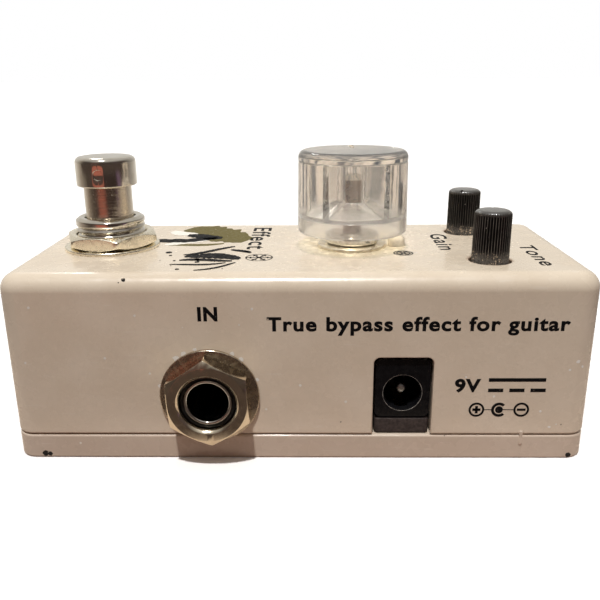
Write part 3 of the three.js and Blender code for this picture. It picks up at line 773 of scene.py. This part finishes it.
def base_screws():
    """Countersunk screws with a cross recess and a threaded shank."""
    shank, pitch, depth = 1.5, 0.8, 0.28
    for number, screw in enumerate(screws, 1):
        head, bottom, top = screw.size.x / 2, screw.low.z, screw.high.z
        low, high = bottom + 2.2, top - 0.6
        body = turned([
            (0, bottom),
            (head, bottom, 0.15),
            (head, bottom + 0.25),
            (shank, bottom + 1.5, 0.2),
            *[(shank, height) for height in steps_between(low, high, pitch)],
            (shank - 0.5, top),
            (0, top),
        ], 48, thread(pitch, depth, low, high, shank), steps=3)
        arms = []
        for turn in (0, 90):
            deep, wide = (0.5, 0.25, bottom + 1.1), (2.2, 0.5, bottom - 1)
            arm = lofted([[(-x, -y, z), (x, -y, z), (x, y, z), (-x, y, z)] for x, y, z in (deep, wide)])
            arms.append(spun(arm, turn + 25 * number))
        made = moved(cut(body, *arms), screw.mid.x, screw.mid.y)
        piece(f"screw_{number}", made, steel, "plain_steel", f"base_screw_{number}", angle=30)


# ---- footswitch
def button():
    """The footswitch's crowned cap, with a dimple in front, and the stem under it."""
    x, bottom, top, radius = foot_cap.mid.x, foot_cap.low.z, foot_cap.high.z, foot_cap.size.x / 2
    cap = turned([
        (0, bottom), (radius, bottom, 0.25), (radius, top - 0.3, 0.95), (radius - 1.4, top - 0.12, 3),
        (0, top),
    ], 288, steps=8)
    neck, ceiling, dimple_height = 2.8, 44.9, 44.4
    hole = rod(neck + 0.1, bottom - 1, ceiling, 48)
    dimple = spun(turned([(0, 0), (0.88, 0, 0.1), (0.95, 0.6), (0, 0.6)], 48, steps=3), 90, "X")
    made = cut(cap, hole, moved(dimple, 0, 0.28 - radius, dimple_height))
    piece("button_cap", moved(made, x), nickel, "nickel_plate", "footswitch_cap", BUTTON, bevel=0.03)

    plunger = span("footswitch_plunger")
    pusher, collar, stem = 2, 5.2, 4.05
    collar_low, collar_high = 23.2, 24.6
    made = turned([
        (0, plunger.low.z), (pusher, plunger.low.z, 0.3), (pusher, collar_low), (collar, collar_low, 0.2),
        (collar, collar_high, 0.2), (stem, collar_high), (stem, bottom - 0.1, 0.12), (neck, bottom - 0.1),
        (neck, plunger.high.z, 0.2), (0, plunger.high.z),
    ], 128)
    piece("button_stem", moved(made, x), turned_steel, "plain_steel", "footswitch_plunger", BUTTON)


def switch_fastening():
    """The footswitch's threaded bushing, its nut and its washer."""
    x, bushing = foot_cap.mid.x, span("footswitch_bushing")
    flange, outer, bore, pitch, depth = 6.8, 5.9, 4.25, 1.0, 0.42
    seat, low, crest = 26.5, 28.5, bushing.high.z
    high = crest - 0.85
    made = turned([
        (bore, bushing.low.z),
        (flange, bushing.low.z),
        (flange, seat),
        *[(outer, height) for height in [seat, *steps_between(low, high, pitch, 14)]],
        (outer, crest - 0.45, 0.3),
        (outer - 0.65, crest, 0.18),
        (bore + 0.25, crest, 0.15),
        (bore, crest - 0.4),
    ], 160, thread(pitch, depth, low, high, outer))
    piece("switch_bushing", moved(made, x), nickel, "nickel_plate", "footswitch_bushing")

    nut, washer, flats, hole = span("footswitch_nut"), span("footswitch_washer"), 14.5, 6.0
    made = spun(hex_nut(flats, hole, hole + 0.35, nut.low.z, nut.high.z, both=True), FOOT_NUT_TURN)
    piece("switch_nut", moved(made, x), foot_nickel, "nickel_plate", "footswitch_nut", bevel=0.07, angle=24)
    made = flat_washer(hole + 0.1, washer.size.x / 2, washer.low.z, washer.high.z)
    piece("switch_washer", moved(made, x), foot_nickel, "nickel_plate", "footswitch_washer")


# ---- large clear knob
def knob_body():
    """The clear knob's wall, cone floor and hub, and five ribs from hub to wall."""
    x, radius, low, high = dial_body.mid.x, dial_body.size.x / 2, dial_body.low.z, dial_body.high.z
    hub, skirt, inner, cone_low, cone_high = 3.3, 8.5, radius - 1.5, 36.6, 39.2
    body = turned([
        (SHAFT_BORE, cone_high - 0.5, 0.2),
        (skirt, cone_low, 0.25),
        (skirt, low, 0.15),
        (radius, low, 0.5),
        (radius - KNOB_DRAFT, high, 0.15),
        (inner, high, 0.15),
        (inner, cone_low + 0.4, 0.2),
        (hub, cone_high + 0.1, 0.5),
        (hub, high, 0.15),
        (SHAFT_BORE, high, 0.15),
    ], 160, steps=5)
    half, sunk, count, first = 0.55, 0.3, 5, 20
    near_end, far_end, ceiling = hub - sunk, inner + sunk, high - 0.3
    ribs = []
    for k in range(count):
        rib = lofted([
            [(near_end, y, cone_high - 0.3), (far_end, y, cone_low + 0.15),
             (far_end, y, ceiling), (near_end, y, ceiling)]
            for y in (-half, half)
        ])
        ribs.append(spun(rib, first + 360 / count * k))
    piece("knob_body", moved(fused(body, *ribs), x), acrylic, "clear_acrylic", "main_knob", DIAL, bevel=0.06)


def knob_lens():
    """The knob's flat top, with a pointer groove."""
    lens = span("main_knob_lens")
    radius, low, high = dial_body.size.x / 2, lens.low.z, lens.high.z
    top = turned([
        (0, low), (radius - KNOB_DRAFT, low, 0.15), (radius - KNOB_DRAFT, high, 1.15), (0, high),
    ], 160, steps=10)
    groove = slab(0.8, radius - 4, 0.4, [(0.1, high - 0.3), (0, high - 0.1), (0, high + 1)])
    made = cut(top, moved(groove, 0, (radius + 1) / 2))
    piece("knob_lens", moved(made, dial_body.mid.x), acrylic, "clear_acrylic", "main_knob_lens", DIAL)


def knob_shaft():
    """The knob's shaft, whose bright, slotted tip shows through the lens: its bright nickel on the dull steel
    shaft is a painted highlight of light on its end.
    """
    x, low, end = dial_body.mid.x, main_shaft.low.z, main_shaft.high.z
    tip = end - 0.9
    made = moved(rod(SHAFT, low, tip, 64), x)
    piece("knob_shaft", made, dull_steel, "plain_steel", "main_pot_shaft", DIAL, bevel=0.04)
    # The tip is bright nickel, a painted highlight where light falls on the shaft's end.
    cone = turned([(0, tip), (SHAFT, tip), (SHAFT - 0.4, end, 0.15), (0, end)], 64)
    slot = block((-3, -0.25, tip + 0.2), (3, 0.25, end + 1))
    piece("shaft_tip", moved(cut(cone, slot), x), bright_nickel, "plain_steel", body=DIAL, bevel=0.03)


def knob_fastening():
    """The large knob's threaded bushing, with a round nut and a washer on it."""
    x, sleeve = dial_body.mid.x, span("main_pot_bushing")
    flange, seat, outer, low, high, pitch, depth = 4.9, 27.2, 3.4, 28, 33.3, 0.75, 0.3
    made = turned([
        (SHAFT_BORE, sleeve.low.z),
        (flange, sleeve.low.z),
        (flange, seat),
        *[(outer, height) for height in [seat, *steps_between(low, high, pitch)]],
        (outer - 0.25, sleeve.high.z),
        (SHAFT_BORE, sleeve.high.z),
    ], 96, thread(pitch, depth, low, high, outer))
    piece("pot_bushing", moved(made, x), nickel, "nickel_plate", "main_pot_bushing")
    nut, washer = span("main_pot_nut"), span("main_pot_washer")
    rim, hole = nut.size.x / 2, 3.5
    made = turned([
        (hole, nut.low.z), (rim - 0.35, nut.low.z, 0.1), (rim, nut.low.z + 0.35, 0.15),
        (rim, nut.high.z, 0.3), (hole, nut.high.z, 0.2),
    ], 128, steps=5)
    piece("pot_nut", moved(made, x), bright_nickel, "nickel_plate", "main_pot_nut")
    made = flat_washer(hole, washer.size.x / 2, washer.low.z, washer.high.z)
    piece("pot_washer", moved(made, x), satin_nickel, "nickel_plate", "main_pot_washer")


# ---- small knobs and light
def small_knob(name, place, body, turn, rib_glint):
    """A tapered knob with fine ribs, a rounded crown and a pointer notch. turn is in whole ribs, because
    its plastic has the painted highlights on the crests in set places."""
    low, high, foot, crown = place.low.z, place.high.z, place.size.x / 2, 2.95
    depth, bore, ceiling, smooth = 0.2, 2.1, 36.8, high - 0.35
    rib_low, rib_top = low + 0.1, high - 0.85
    heights = [rib_low + (rib_top - rib_low) * k / 12 for k in range(13)]
    taper = [(foot + (crown - foot) * (h - low) / (rib_top - low), h) for h in heights]
    dome = arc(crown - 1.0, rib_top, 1.0, 0.75, 10, 90, 8)
    hollow = [(0, ceiling), (bore, ceiling), (bore, low)]
    profile = [*hollow, (foot - 0.15, low), *taper, *dome, (0, high - 0.02)]

    def ribbed(radius, height, angle):
        if radius < crown - 0.25 or height > smooth:
            return radius
        fade = min(1.0, (smooth - height) / 0.5)
        return radius - depth * fade * (0.5 - 0.5 * math.cos(KNOB_RIBS * angle)) ** 0.7

    knob = turned(profile, KNOB_RIBS * 8, ribbed)
    notch = block((-0.22, crown - 1.1, high - 0.4), (0.22, crown + 1, high + 1))
    made = moved(spun(cut(knob, notch), turn * 360 / KNOB_RIBS), place.mid.x, place.mid.y)
    # Its plastic paints highlights on the ribs' crests and a sheen on the crown.
    plastic = knob_plastic(f"{name}_plastic", place, rib_glint)
    piece(f"{name}_cap", made, plastic, "black_knob", f"{name}_knob", body, angle=50)


def status_light():
    """A clear 3 mm lamp, with its reflector cup inside."""
    x, y, low, high, radius, flange = led.mid.x, led.mid.y, led.low.z, led.high.z, 1.5, led.size.x / 2
    lens = turned([
        (0, low), (flange, low), (flange, low + 0.9), (radius, low + 1.0),
        *arc(0, high - radius, radius, radius, 0, 84, 14), (0, high),
    ], 64)
    piece("lamp_lens", moved(lens, x, y), led_lens, "led_lens", "status_led")
    cup = turned([
        (0, low + 0.4), (0.35, low + 0.4), (0.35, high - 2.2), (0.75, high - 1.7, 0.1), (0.6, high - 1.6),
        (0.3, high - 2.0), (0, high - 2.0),
    ], 32, steps=3)
    piece("lamp_cup", moved(cup, x, y), bright_nickel, "nickel_plate")


# ---- jacks and power socket
def facing(bm, x, side, z):
    """Turns a mesh drawn with +Z out of the box to face that side (-1 front, +1 back), in its place."""
    spun(bm, 90, "X")
    if side > 0:
        spun(bm, 180, "Z")
    return moved(bm, x, side * shell.high.y, z)


def jack_socket(name, ferrule, side, turn):
    """A jack, drawn with +Z out of the box: its ferrule, housing, nut and washer."""
    def fit(part, bm, stuff, slot, node, **finish):
        placed = facing(bm, ferrule.mid.x, side, ferrule.mid.z)
        piece(f"{name}_{part}", placed, stuff, slot, f"{name}_jack_{node}", **finish)

    inner, outer, collar, collar_end, back = 3.25, 3.82, 4.45, 2.5, -16.0
    lip = collar_end + 0.2
    tube = turned([(inner, back), (outer, back), (outer, lip, 0.22), (inner, lip, 0.35)], 128, steps=6)
    fit("ferrule", tube, bright_nickel, "nickel_plate", "ferrule")

    up, down, half, rear, front = 6.75, 6.1, 6.4, -27.0, -2.1
    housing = slab(2 * half, up + down, 0.6, [(0.3, rear), (0, rear + 0.3), (0, front - 0.3), (0.3, front)])
    moved(housing, 0, (up - down) / 2)
    ring = turned([(0, front - 0.5), (collar, front - 0.5), (collar, collar_end, 0.25), (0, collar_end)])
    made = cut(fused(housing, ring), rod(outer + 0.1, rear - 1, collar_end + 1))
    fit("housing", made, jack_plastic, "black_plastic", "body", bevel=0.04)

    flats, hole, washer_rim, nut_low = 12.7, 4.55, 8.0, 0.6
    nut_high = nut_low + span(f"{name}_jack_nut").size.y
    nut = spun(hex_nut(flats, hole, hole + 0.4, nut_low, nut_high), turn)
    fit("nut", nut, dark_nickel, "nickel_plate", "nut", bevel=0.08, angle=24)
    fit("washer", flat_washer(hole, washer_rim, 0.05, 0.55), aged_nickel, "nickel_plate", "washer")


def power_socket():
    """The power socket, drawn with +Z into the box: its body, a pale ring round the hole that paints a
    highlight on its edge, and the pin.
    """
    x, face, low, high = socket.mid.x, socket.low.y, socket.low.z, socket.high.z
    pin = span("power_socket_pin")
    z, tip, back, pin_radius = pin.mid.z, 1.6, pin.size.y + 1.4, 0.85 * pin.size.x / 2
    nose_top, nose_low, bore, depth = 17.3, low + 0.1, 3.0, 9.5
    nose = slab(8.8, nose_top - nose_low, 1.0, [(0.18, 0), (0.05, 0.06), (0, 0.2), (0, 2.2)])
    moved(nose, 0, (nose_top + nose_low) / 2)
    rear = slab(socket.size.x, high - low, 0.3, [(0, 2.0), (0, socket.size.y)])
    moved(rear, 0, (high + low) / 2)
    hole = turned([(0, -1), (bore + 0.2, -1), (bore + 0.2, 0), (bore, 0.2), (bore, depth), (0, depth)])
    contact = block((-1.1, z - 4.1, 1.4), (1.1, z, depth))
    body = cut(fused(nose, rear), moved(hole, 0, z), moved(rod(1.1, 5, 15, 32), 0, z), contact)
    # A pale ring at the hole's edge: a painted highlight.
    rim = turned([(3.13, 0.02), (3.27, 0.02, 0.05), (3.27, 0.12), (3.13, 0.14)], steps=3)
    centre = turned([(0, tip), (pin_radius, tip, 0.6), (pin_radius, back, 0.1), (0, back)], 48, steps=8)
    for bm, name, stuff, slot, node, bevel in (
        (body, "socket_body", socket_plastic, "black_plastic", "power_socket_body", 0.05),
        (moved(rim, 0, z), "socket_rim", rim_highlight_plastic, "black_plastic", None, 0),
        (moved(centre, 0, z), "socket_pin", steel, "nickel_plate", "power_socket_pin", 0),
    ):
        spun(bm, 90, "X")
        bmesh.ops.scale(bm, verts=bm.verts, vec=(1, -1, 1))
        bmesh.ops.recalc_face_normals(bm, faces=bm.faces)
        piece(name, moved(bm, x, face), stuff, slot, node, bevel=bevel)


def socket_pad():
    """The soft dark pad under the power socket."""
    pad = span("power_socket_pad")
    low, high = pad.low.z, pad.high.z
    profile = [
        (0.25, low), (0.05, low + 0.2), (0, low + 0.6), (0, high - 0.5), (0.06, high - 0.15), (0.3, high),
    ]
    cushion = moved(slab(pad.size.x, pad.size.y, 0.6, profile), pad.mid.x, pad.mid.y)
    piece("socket_pad", cushion, rubber, "foam_rubber", "power_socket_pad")


# ---- print
def lettering(words, width, height, bold=0.0):
    """Raised letters that fill width by height, drawn flat from the origin. bold thickens their lines."""
    curve = bpy.data.curves.new("words", "FONT")
    curve.body = words
    curve.space_character = 1.12
    curve.bevel_depth = bold
    curve.bevel_resolution = 0
    curve.extrude = 0.01
    obj = in_scene("words", curve)
    bpy.context.view_layer.update()
    mesh = bpy.data.meshes.new_from_object(obj)
    bpy.data.objects.remove(obj)
    bm = bmesh.new()
    bm.from_mesh(mesh)
    bpy.data.meshes.remove(mesh)
    low = [min(v.co[k] for v in bm.verts) for k in range(3)]
    high = [max(v.co[k] for v in bm.verts) for k in range(3)]
    moved(bm, -low[0], -low[1], -low[2])
    scale = (width / (high[0] - low[0]), height / (high[1] - low[1]), INK / (high[2] - low[2]))
    bmesh.ops.scale(bm, verts=bm.verts, vec=scale)
    return bm


def patch(outline):
    """A thin flat print with that outline."""
    return lofted([[(*point, 0) for point in outline], [(*point, INK) for point in outline]])


def bar(x, y, width, height):
    return patch([(x, y), (x + width, y), (x + width, y + height), (x, y + height)])


def print_ring(x, y, radius, line, start=0, end=360):
    """A printed circle, or the arc of one from start to end degrees."""
    steps = 48
    inner, outer = (arc(x, y, reach, reach, start, end, steps) for reach in (radius - line, radius))
    if end - start < 360:
        return patch(outer + inner[::-1])
    edges = ((inner, 0), (outer, 0), (outer, INK), (inner, INK))
    return lofted([[(*point, height) for point in points[:steps]] for points, height in edges], loops=True)


def disc(x, y, radius):
    return patch(arc(x, y, radius, radius, 0, 348, 29))


def front_print():
    """Labels on the front: the input, a plain description, the supply voltage and its polarity."""
    dash_x, dash_y, dash, gap, thick = 30.1, 11.9, 2.4, 0.95, 0.6
    parts = [
        moved(lettering("IN", 3.1, 2.35, 0.045), -15.5, 23.9),
        moved(lettering("True bypass effect for guitar", 46.7, 3.1, 0.034), -4.8, 21.5),
        moved(lettering("9V", 4.1, 2.4, 0.042), 24.8, 11.8),
        bar(dash_x, dash_y + 1.8, 9.0, thick),
        *[bar(dash_x + (dash + gap) * k, dash_y, dash, thick) for k in range(3)],
    ]
    plus, ring, minus, level, radius, line, hair = 28.5, 32.1, 35.65, 8.8, 1.25, 0.34, 0.12
    parts += [
        print_ring(plus, level, radius, line),
        print_ring(minus, level, radius, line),
        print_ring(ring, level, radius, 0.45, 45, 315),
        disc(ring, level, 0.62),
        bar(plus - 0.65, level - 0.22, 1.3, 0.44),
        bar(plus - 0.22, level - 0.65, 0.44, 1.3),
        bar(minus - 0.7, level - 0.2, 1.4, 0.4),
        bar(plus + radius, level - hair / 2, ring - plus - 2 * radius, hair),
        bar(ring + 0.6, level - hair / 2, minus - ring - 0.6 - radius, hair),
    ]
    whole = spun(joined(*parts), 90, "X")
    piece("front_labels", moved(whole, 0, FRONT - 0.001), black_ink, "enclosure_paint")


def top_print():
    """Labels on the top, with two six-armed marks. They read from the footswitch's end: the letters stand
    towards +X and run towards -Y."""
    parts = []
    for words, x, y, width, height in (
        ("Tone", 38.4, -0.8, 13.8, 2.7),
        ("Gain", 24.3, 8.5, 12.5, 3.0),
        ("Effect", -9.3, 15.0, 18.0, 3.6),
    ):
        parts.append(moved(spun(lettering(words, width, height, 0.015), -90), x, y))
    for x, y, radius in ((-6.6, -8.9, 2.3), (17.7, -6.2, 1.7)):
        parts.append(print_ring(x, y, radius, 0.22))
        for k in range(3):
            arms = [bar(-radius, -0.16, 2 * radius, 0.32)]
            arms += [bar(0.62 * radius * side - 0.14, -0.5, 0.28, 1.0) for side in (-1, 1)]
            parts += [moved(spun(arm, 60 * k), x, y) for arm in arms]
    piece("top_labels", moved(joined(*parts), z=TOP), black_ink, "enclosure_paint")


def brush_stroke(start, end, width, seed):
    """The outline of one dry brush stroke: it swells in the middle, and its ends and sides are torn."""
    start, end = Vector(start), Vector(end)
    along = end - start
    across = Vector((-along.y, along.x)).normalized()
    sides = ([], [])
    count = 40
    for k in range(count + 1):
        share = k / count
        swell = math.sin(math.pi * min(1, max(0, share * 0.94 + 0.03))) ** 0.45
        bend = across * 0.12 * along.length * math.sin(math.pi * share + seed)
        for sign, side in ((1, sides[0]), (-1, sides[1])):
            torn = noise.noise(Vector((seed * 7.3, share * 14, sign * 3.1)))
            reach = width / 2 * swell * (1 + 0.3 * torn)
            side.append(start + along * share + bend + across * sign * reach)
    return patch([tuple(p) for p in sides[0] + sides[1][::-1]])


def splashes(count, low, high, seed):
    """Scattered drops of ink."""
    draw = random.Random(seed)
    drops = []
    for _ in range(count):
        x, y = draw.uniform(low[0], high[0]), draw.uniform(low[1], high[1])
        drops.append(disc(x, y, 0.1 + 0.5 * draw.random() ** 3))
    return drops


# Each stroke: (start, end, width, seed).
STROKES = {
    "olive": [((-23, 13), (-9, 5), 10, 1.0), ((-24, -0.5), (-14, 2.5), 1.6, 2.2)],
    "white": [((-25, 12), (-20, 9), 3.2, 3.3), ((-24.5, 1.5), (-17, 3), 2.6, 5.1)],
    "black": [
        ((-28.5, 4.5), (-15.5, 6), 2.8, 3.1),
        ((-21.5, 7.5), (-14.5, 6.8), 3.6, 1.7),
        ((-20, -6), (-11, -2), 1.2, 4.4),
        ((-11.5, -3), (-8.6, -6), 1.3, 5.2),
        ((-19, -7.5), (-9.8, -10), 3.4, 6.0),
        ((-19.5, -11.5), (-11, -10.2), 1.5, 7.4),
        ((-20.5, -14), (-12, -11.5), 0.8, 8.6),
        ((-16.5, -16.5), (-10, -12.5), 0.7, 9.9),
    ],
}


def artwork():
    """An abstract picture between the footswitch and the large knob: loose brush strokes and drops."""
    for layer, (name, ink) in enumerate((("olive", olive_ink), ("white", white_ink), ("black", black_ink))):
        parts = [brush_stroke(*stroke) for stroke in STROKES[name]]
        if name == "black":
            parts += splashes(16, (-23, -17), (-9, -5), 11)
        piece(f"picture_{name}", moved(joined(*parts), z=TOP + layer * INK), ink, "enclosure_paint")


# ---- inner nodes that keep their CAD shape
# The nodes that no piece replaces, by what they are made of.
INNER = (
    (green_board, ["main_board", "footswitch_board"]),
    (pot_plastic, ["op_amp_chip", "led_spacer", "main_pot_body", "tone_pot_body", "gain_pot_body"]),
    (pot_plastic, ["tone_pot_shaft", "gain_pot_shaft"]),
    (steel, ["footswitch_lock_washer", "footswitch_frame", "footswitch_spring"]),
    (dark_nickel, ["footswitch_inner_nut"]),
    (switch_blue, ["footswitch_housing"]),
    (sleeve_red, ["footswitch_ribbon"]),
    (sleeve_blue, ["capacitor"]),
    (brass, ["input_jack_tip_spring", "output_jack_tip_spring", "power_socket_spring"]),
    (brass, [f"footswitch_lug_{number}" for number in range(1, 10)]),
)


def finish_inner_nodes():
    for stuff, names in INNER:
        for name in names:
            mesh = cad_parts[name].data
            mesh.materials.clear()
            mesh.materials.append(stuff)


# ---- stage
# The room that metal mirrors: (degrees from the front, clockwise from above, colour).
ROOM = [
    (-180, (0.64, 0.62, 0.58)),
    (-125, (0.6, 0.57, 0.52)),
    (-95, (0.28, 0.24, 0.2)),
    (-65, (0.07, 0.055, 0.045)),
    (-46, (0.06, 0.045, 0.04)),
    (-38, (0.34, 0.11, 0.08)),
    (-13, (0.36, 0.12, 0.085)),
    (-4, (0.04, 0.028, 0.026)),
    (45, (0.035, 0.025, 0.022)),
    (56, (0.14, 0.09, 0.14)),
    (72, (0.08, 0.06, 0.055)),
    (95, (0.1, 0.08, 0.07)),
    (135, (0.34, 0.32, 0.29)),
    (180, (0.64, 0.62, 0.58)),
]


def stripes(towards):
    """The room in front by the compass, as metal mirrors it: dim, with one warm and one cool stripe."""
    split = axes(towards)
    compass = maths("ARCTAN2", split[0], times(split[1], -1.0))
    share = maths("MULTIPLY_ADD", compass, 1 / (2 * math.pi), 0.5)
    ramp = add(share.id_data, "ShaderNodeValToRGB", {0: share})
    stops = ramp.color_ramp.elements
    for degrees, colour in ROOM[1:-1]:
        stops.new(degrees / 360 + 0.5)
    for stop, (degrees, colour) in zip(stops, ROOM):
        stop.position = degrees / 360 + 0.5
        stop.color = (*colour, 1)
    return ramp.outputs[0]


def bands(towards):
    """The room by the compass as it shows through clear plastic: soft upright bands, cool and warm."""
    level = vectors("NORMALIZE", vectors("MULTIPLY", towards, (1, 1, 0)))
    return blended(patchy(level, 7.0, 2.0, 0.4, 0.58), (0.05, 0.06, 0.07), (0.7, 0.59, 0.475))


def floor():
    """A pale floor. What it bounces and mirrors is dimmer, so that the sides keep their shade."""
    bm = bmesh.new()
    bmesh.ops.create_grid(bm, x_segments=1, y_segments=1, size=30)
    obj = in_scene("floor", mesh_of(bm, "floor"))
    made = bpy.data.materials.new("floor")
    tree = emptied(made)
    dull = (0.06, 0.045, 0.038)
    place = add(tree, "ShaderNodeTexCoord").outputs["Object"]
    away = vectors("LENGTH", place)
    across, along, _ = axes(place)
    warm = blended(grade(across, -0.05, 0.06), (0.25, 0.165, 0.145), (0.46, 0.36, 0.33))
    bounce = blended(grade(away, 0.03, 0.12), warm, (0.16, 0.125, 0.115))
    beside = grade(maths("ABSOLUTE", along), 0.03, 0.036)
    mirror = blended(beside, (0.6, 0.5, 0.4), dull)
    mirror = blended(grade(away, 0.07, 0.13), mirror, stripes(place))
    far = times(grade(away, 0.34, 0.5), grade(along, 0.0, -0.1))
    mirror = blended(far, mirror, dull)
    through = blended(grade(away, 0.05, 0.1), (0.4, 0.37, 0.33), bands(place))
    path = add(tree, "ShaderNodeLightPath").outputs
    colour = blended(path["Is Diffuse Ray"], (1.0, 1.0, 1.0), bounce)
    colour = blended(path["Is Glossy Ray"], colour, mirror)
    colour = blended(path["Is Transmission Ray"], colour, through)
    shader = add(tree, "ShaderNodeBsdfDiffuse", {0: colour})
    add(tree, "ShaderNodeOutputMaterial", {0: shader.outputs[0]})
    obj.data.materials.append(made)


def surroundings():
    """A bright room behind and above, and a dim warm one in front. The camera itself sees white."""
    world = bpy.data.worlds.new("room")
    bpy.context.scene.world = world
    tree = emptied(world)
    towards = add(tree, "ShaderNodeTexCoord").outputs["Generated"]
    _, behind, up = axes(towards)
    colour = blended(grade(behind, -0.35, 0.8), (0.1, 0.065, 0.057), (0.42, 0.41, 0.4))
    path = add(tree, "ShaderNodeLightPath").outputs
    calm = grade(behind, 0.1, -0.3, 0.0, 0.9)
    mirror = blended(calm, stripes(towards), (0.07, 0.055, 0.048))
    colour = blended(path["Is Glossy Ray"], colour, mirror)
    colour = blended(grade(up, 0.45, 1.0), colour, (0.5, 0.485, 0.46))
    colour = blended(path["Is Transmission Ray"], colour, bands(towards))
    colour = blended(path["Is Camera Ray"], colour, (1.0, 1.0, 1.0))
    background = add(tree, "ShaderNodeBackground", {0: colour, 1: 1.0})
    add(tree, "ShaderNodeOutputWorld", {0: background.outputs[0]})


def aimed(light, place, target):
    obj = in_scene(light.name, light)
    obj.location = place
    obj.rotation_euler = (Vector(target) - Vector(place)).to_track_quat("-Z", "Y").to_euler()


def lights():
    """A steep key light from the front, and a window behind that lines the upper edges."""
    key = bpy.data.lights.new("key", "SUN")
    key.energy = 2.75
    key.angle = math.radians(3)
    key.color = (1.0, 0.985, 0.965)
    aimed(key, (-0.04, -0.23, 0.68), (0, 0, 0))
    window = bpy.data.lights.new("window", "AREA")
    window.energy = 0.3
    window.size = 0.09
    aimed(window, (-0.25, 0.5, 0.5), (0, 0, 0.03))


def camera():
    """The view that was fitted to the edges of the box in the photograph."""
    lens = bpy.data.cameras.new("camera")
    lens.lens = 40.976
    lens.sensor_width = 36
    lens.clip_start = 0.005
    obj = in_scene("camera", lens)
    yaw, pitch, roll = math.radians(1.08), math.radians(90 - 17.9), math.radians(-0.47)
    turn = Matrix.Rotation(yaw, 4, "Z") @ Matrix.Rotation(pitch, 4, "X") @ Matrix.Rotation(roll, 4, "Z")
    obj.matrix_world = Matrix.Translation((0.00224, -0.11921, 0.05939)) @ turn
    bpy.context.scene.camera = obj


bpy.context.scene.view_settings.view_transform = "Standard"
camera()
surroundings()
lights()
floor()
enclosure()
base_cover()
paint_run()
base_screws()
button()
switch_fastening()
knob_body()
knob_lens()
knob_shaft()
knob_fastening()
small_knob("tone", tone, "tone_dial", -1, 0.65)
small_knob("gain", gain, "gain_dial", 18, 0.3)
status_light()
for jack_name, (jack_ferrule, jack_side) in jacks.items():
    jack_socket(jack_name, jack_ferrule, jack_side, JACK_NUT_TURNS[jack_name])
power_socket()
socket_pad()
front_print()
top_print()
artwork()
finish_inner_nodes()
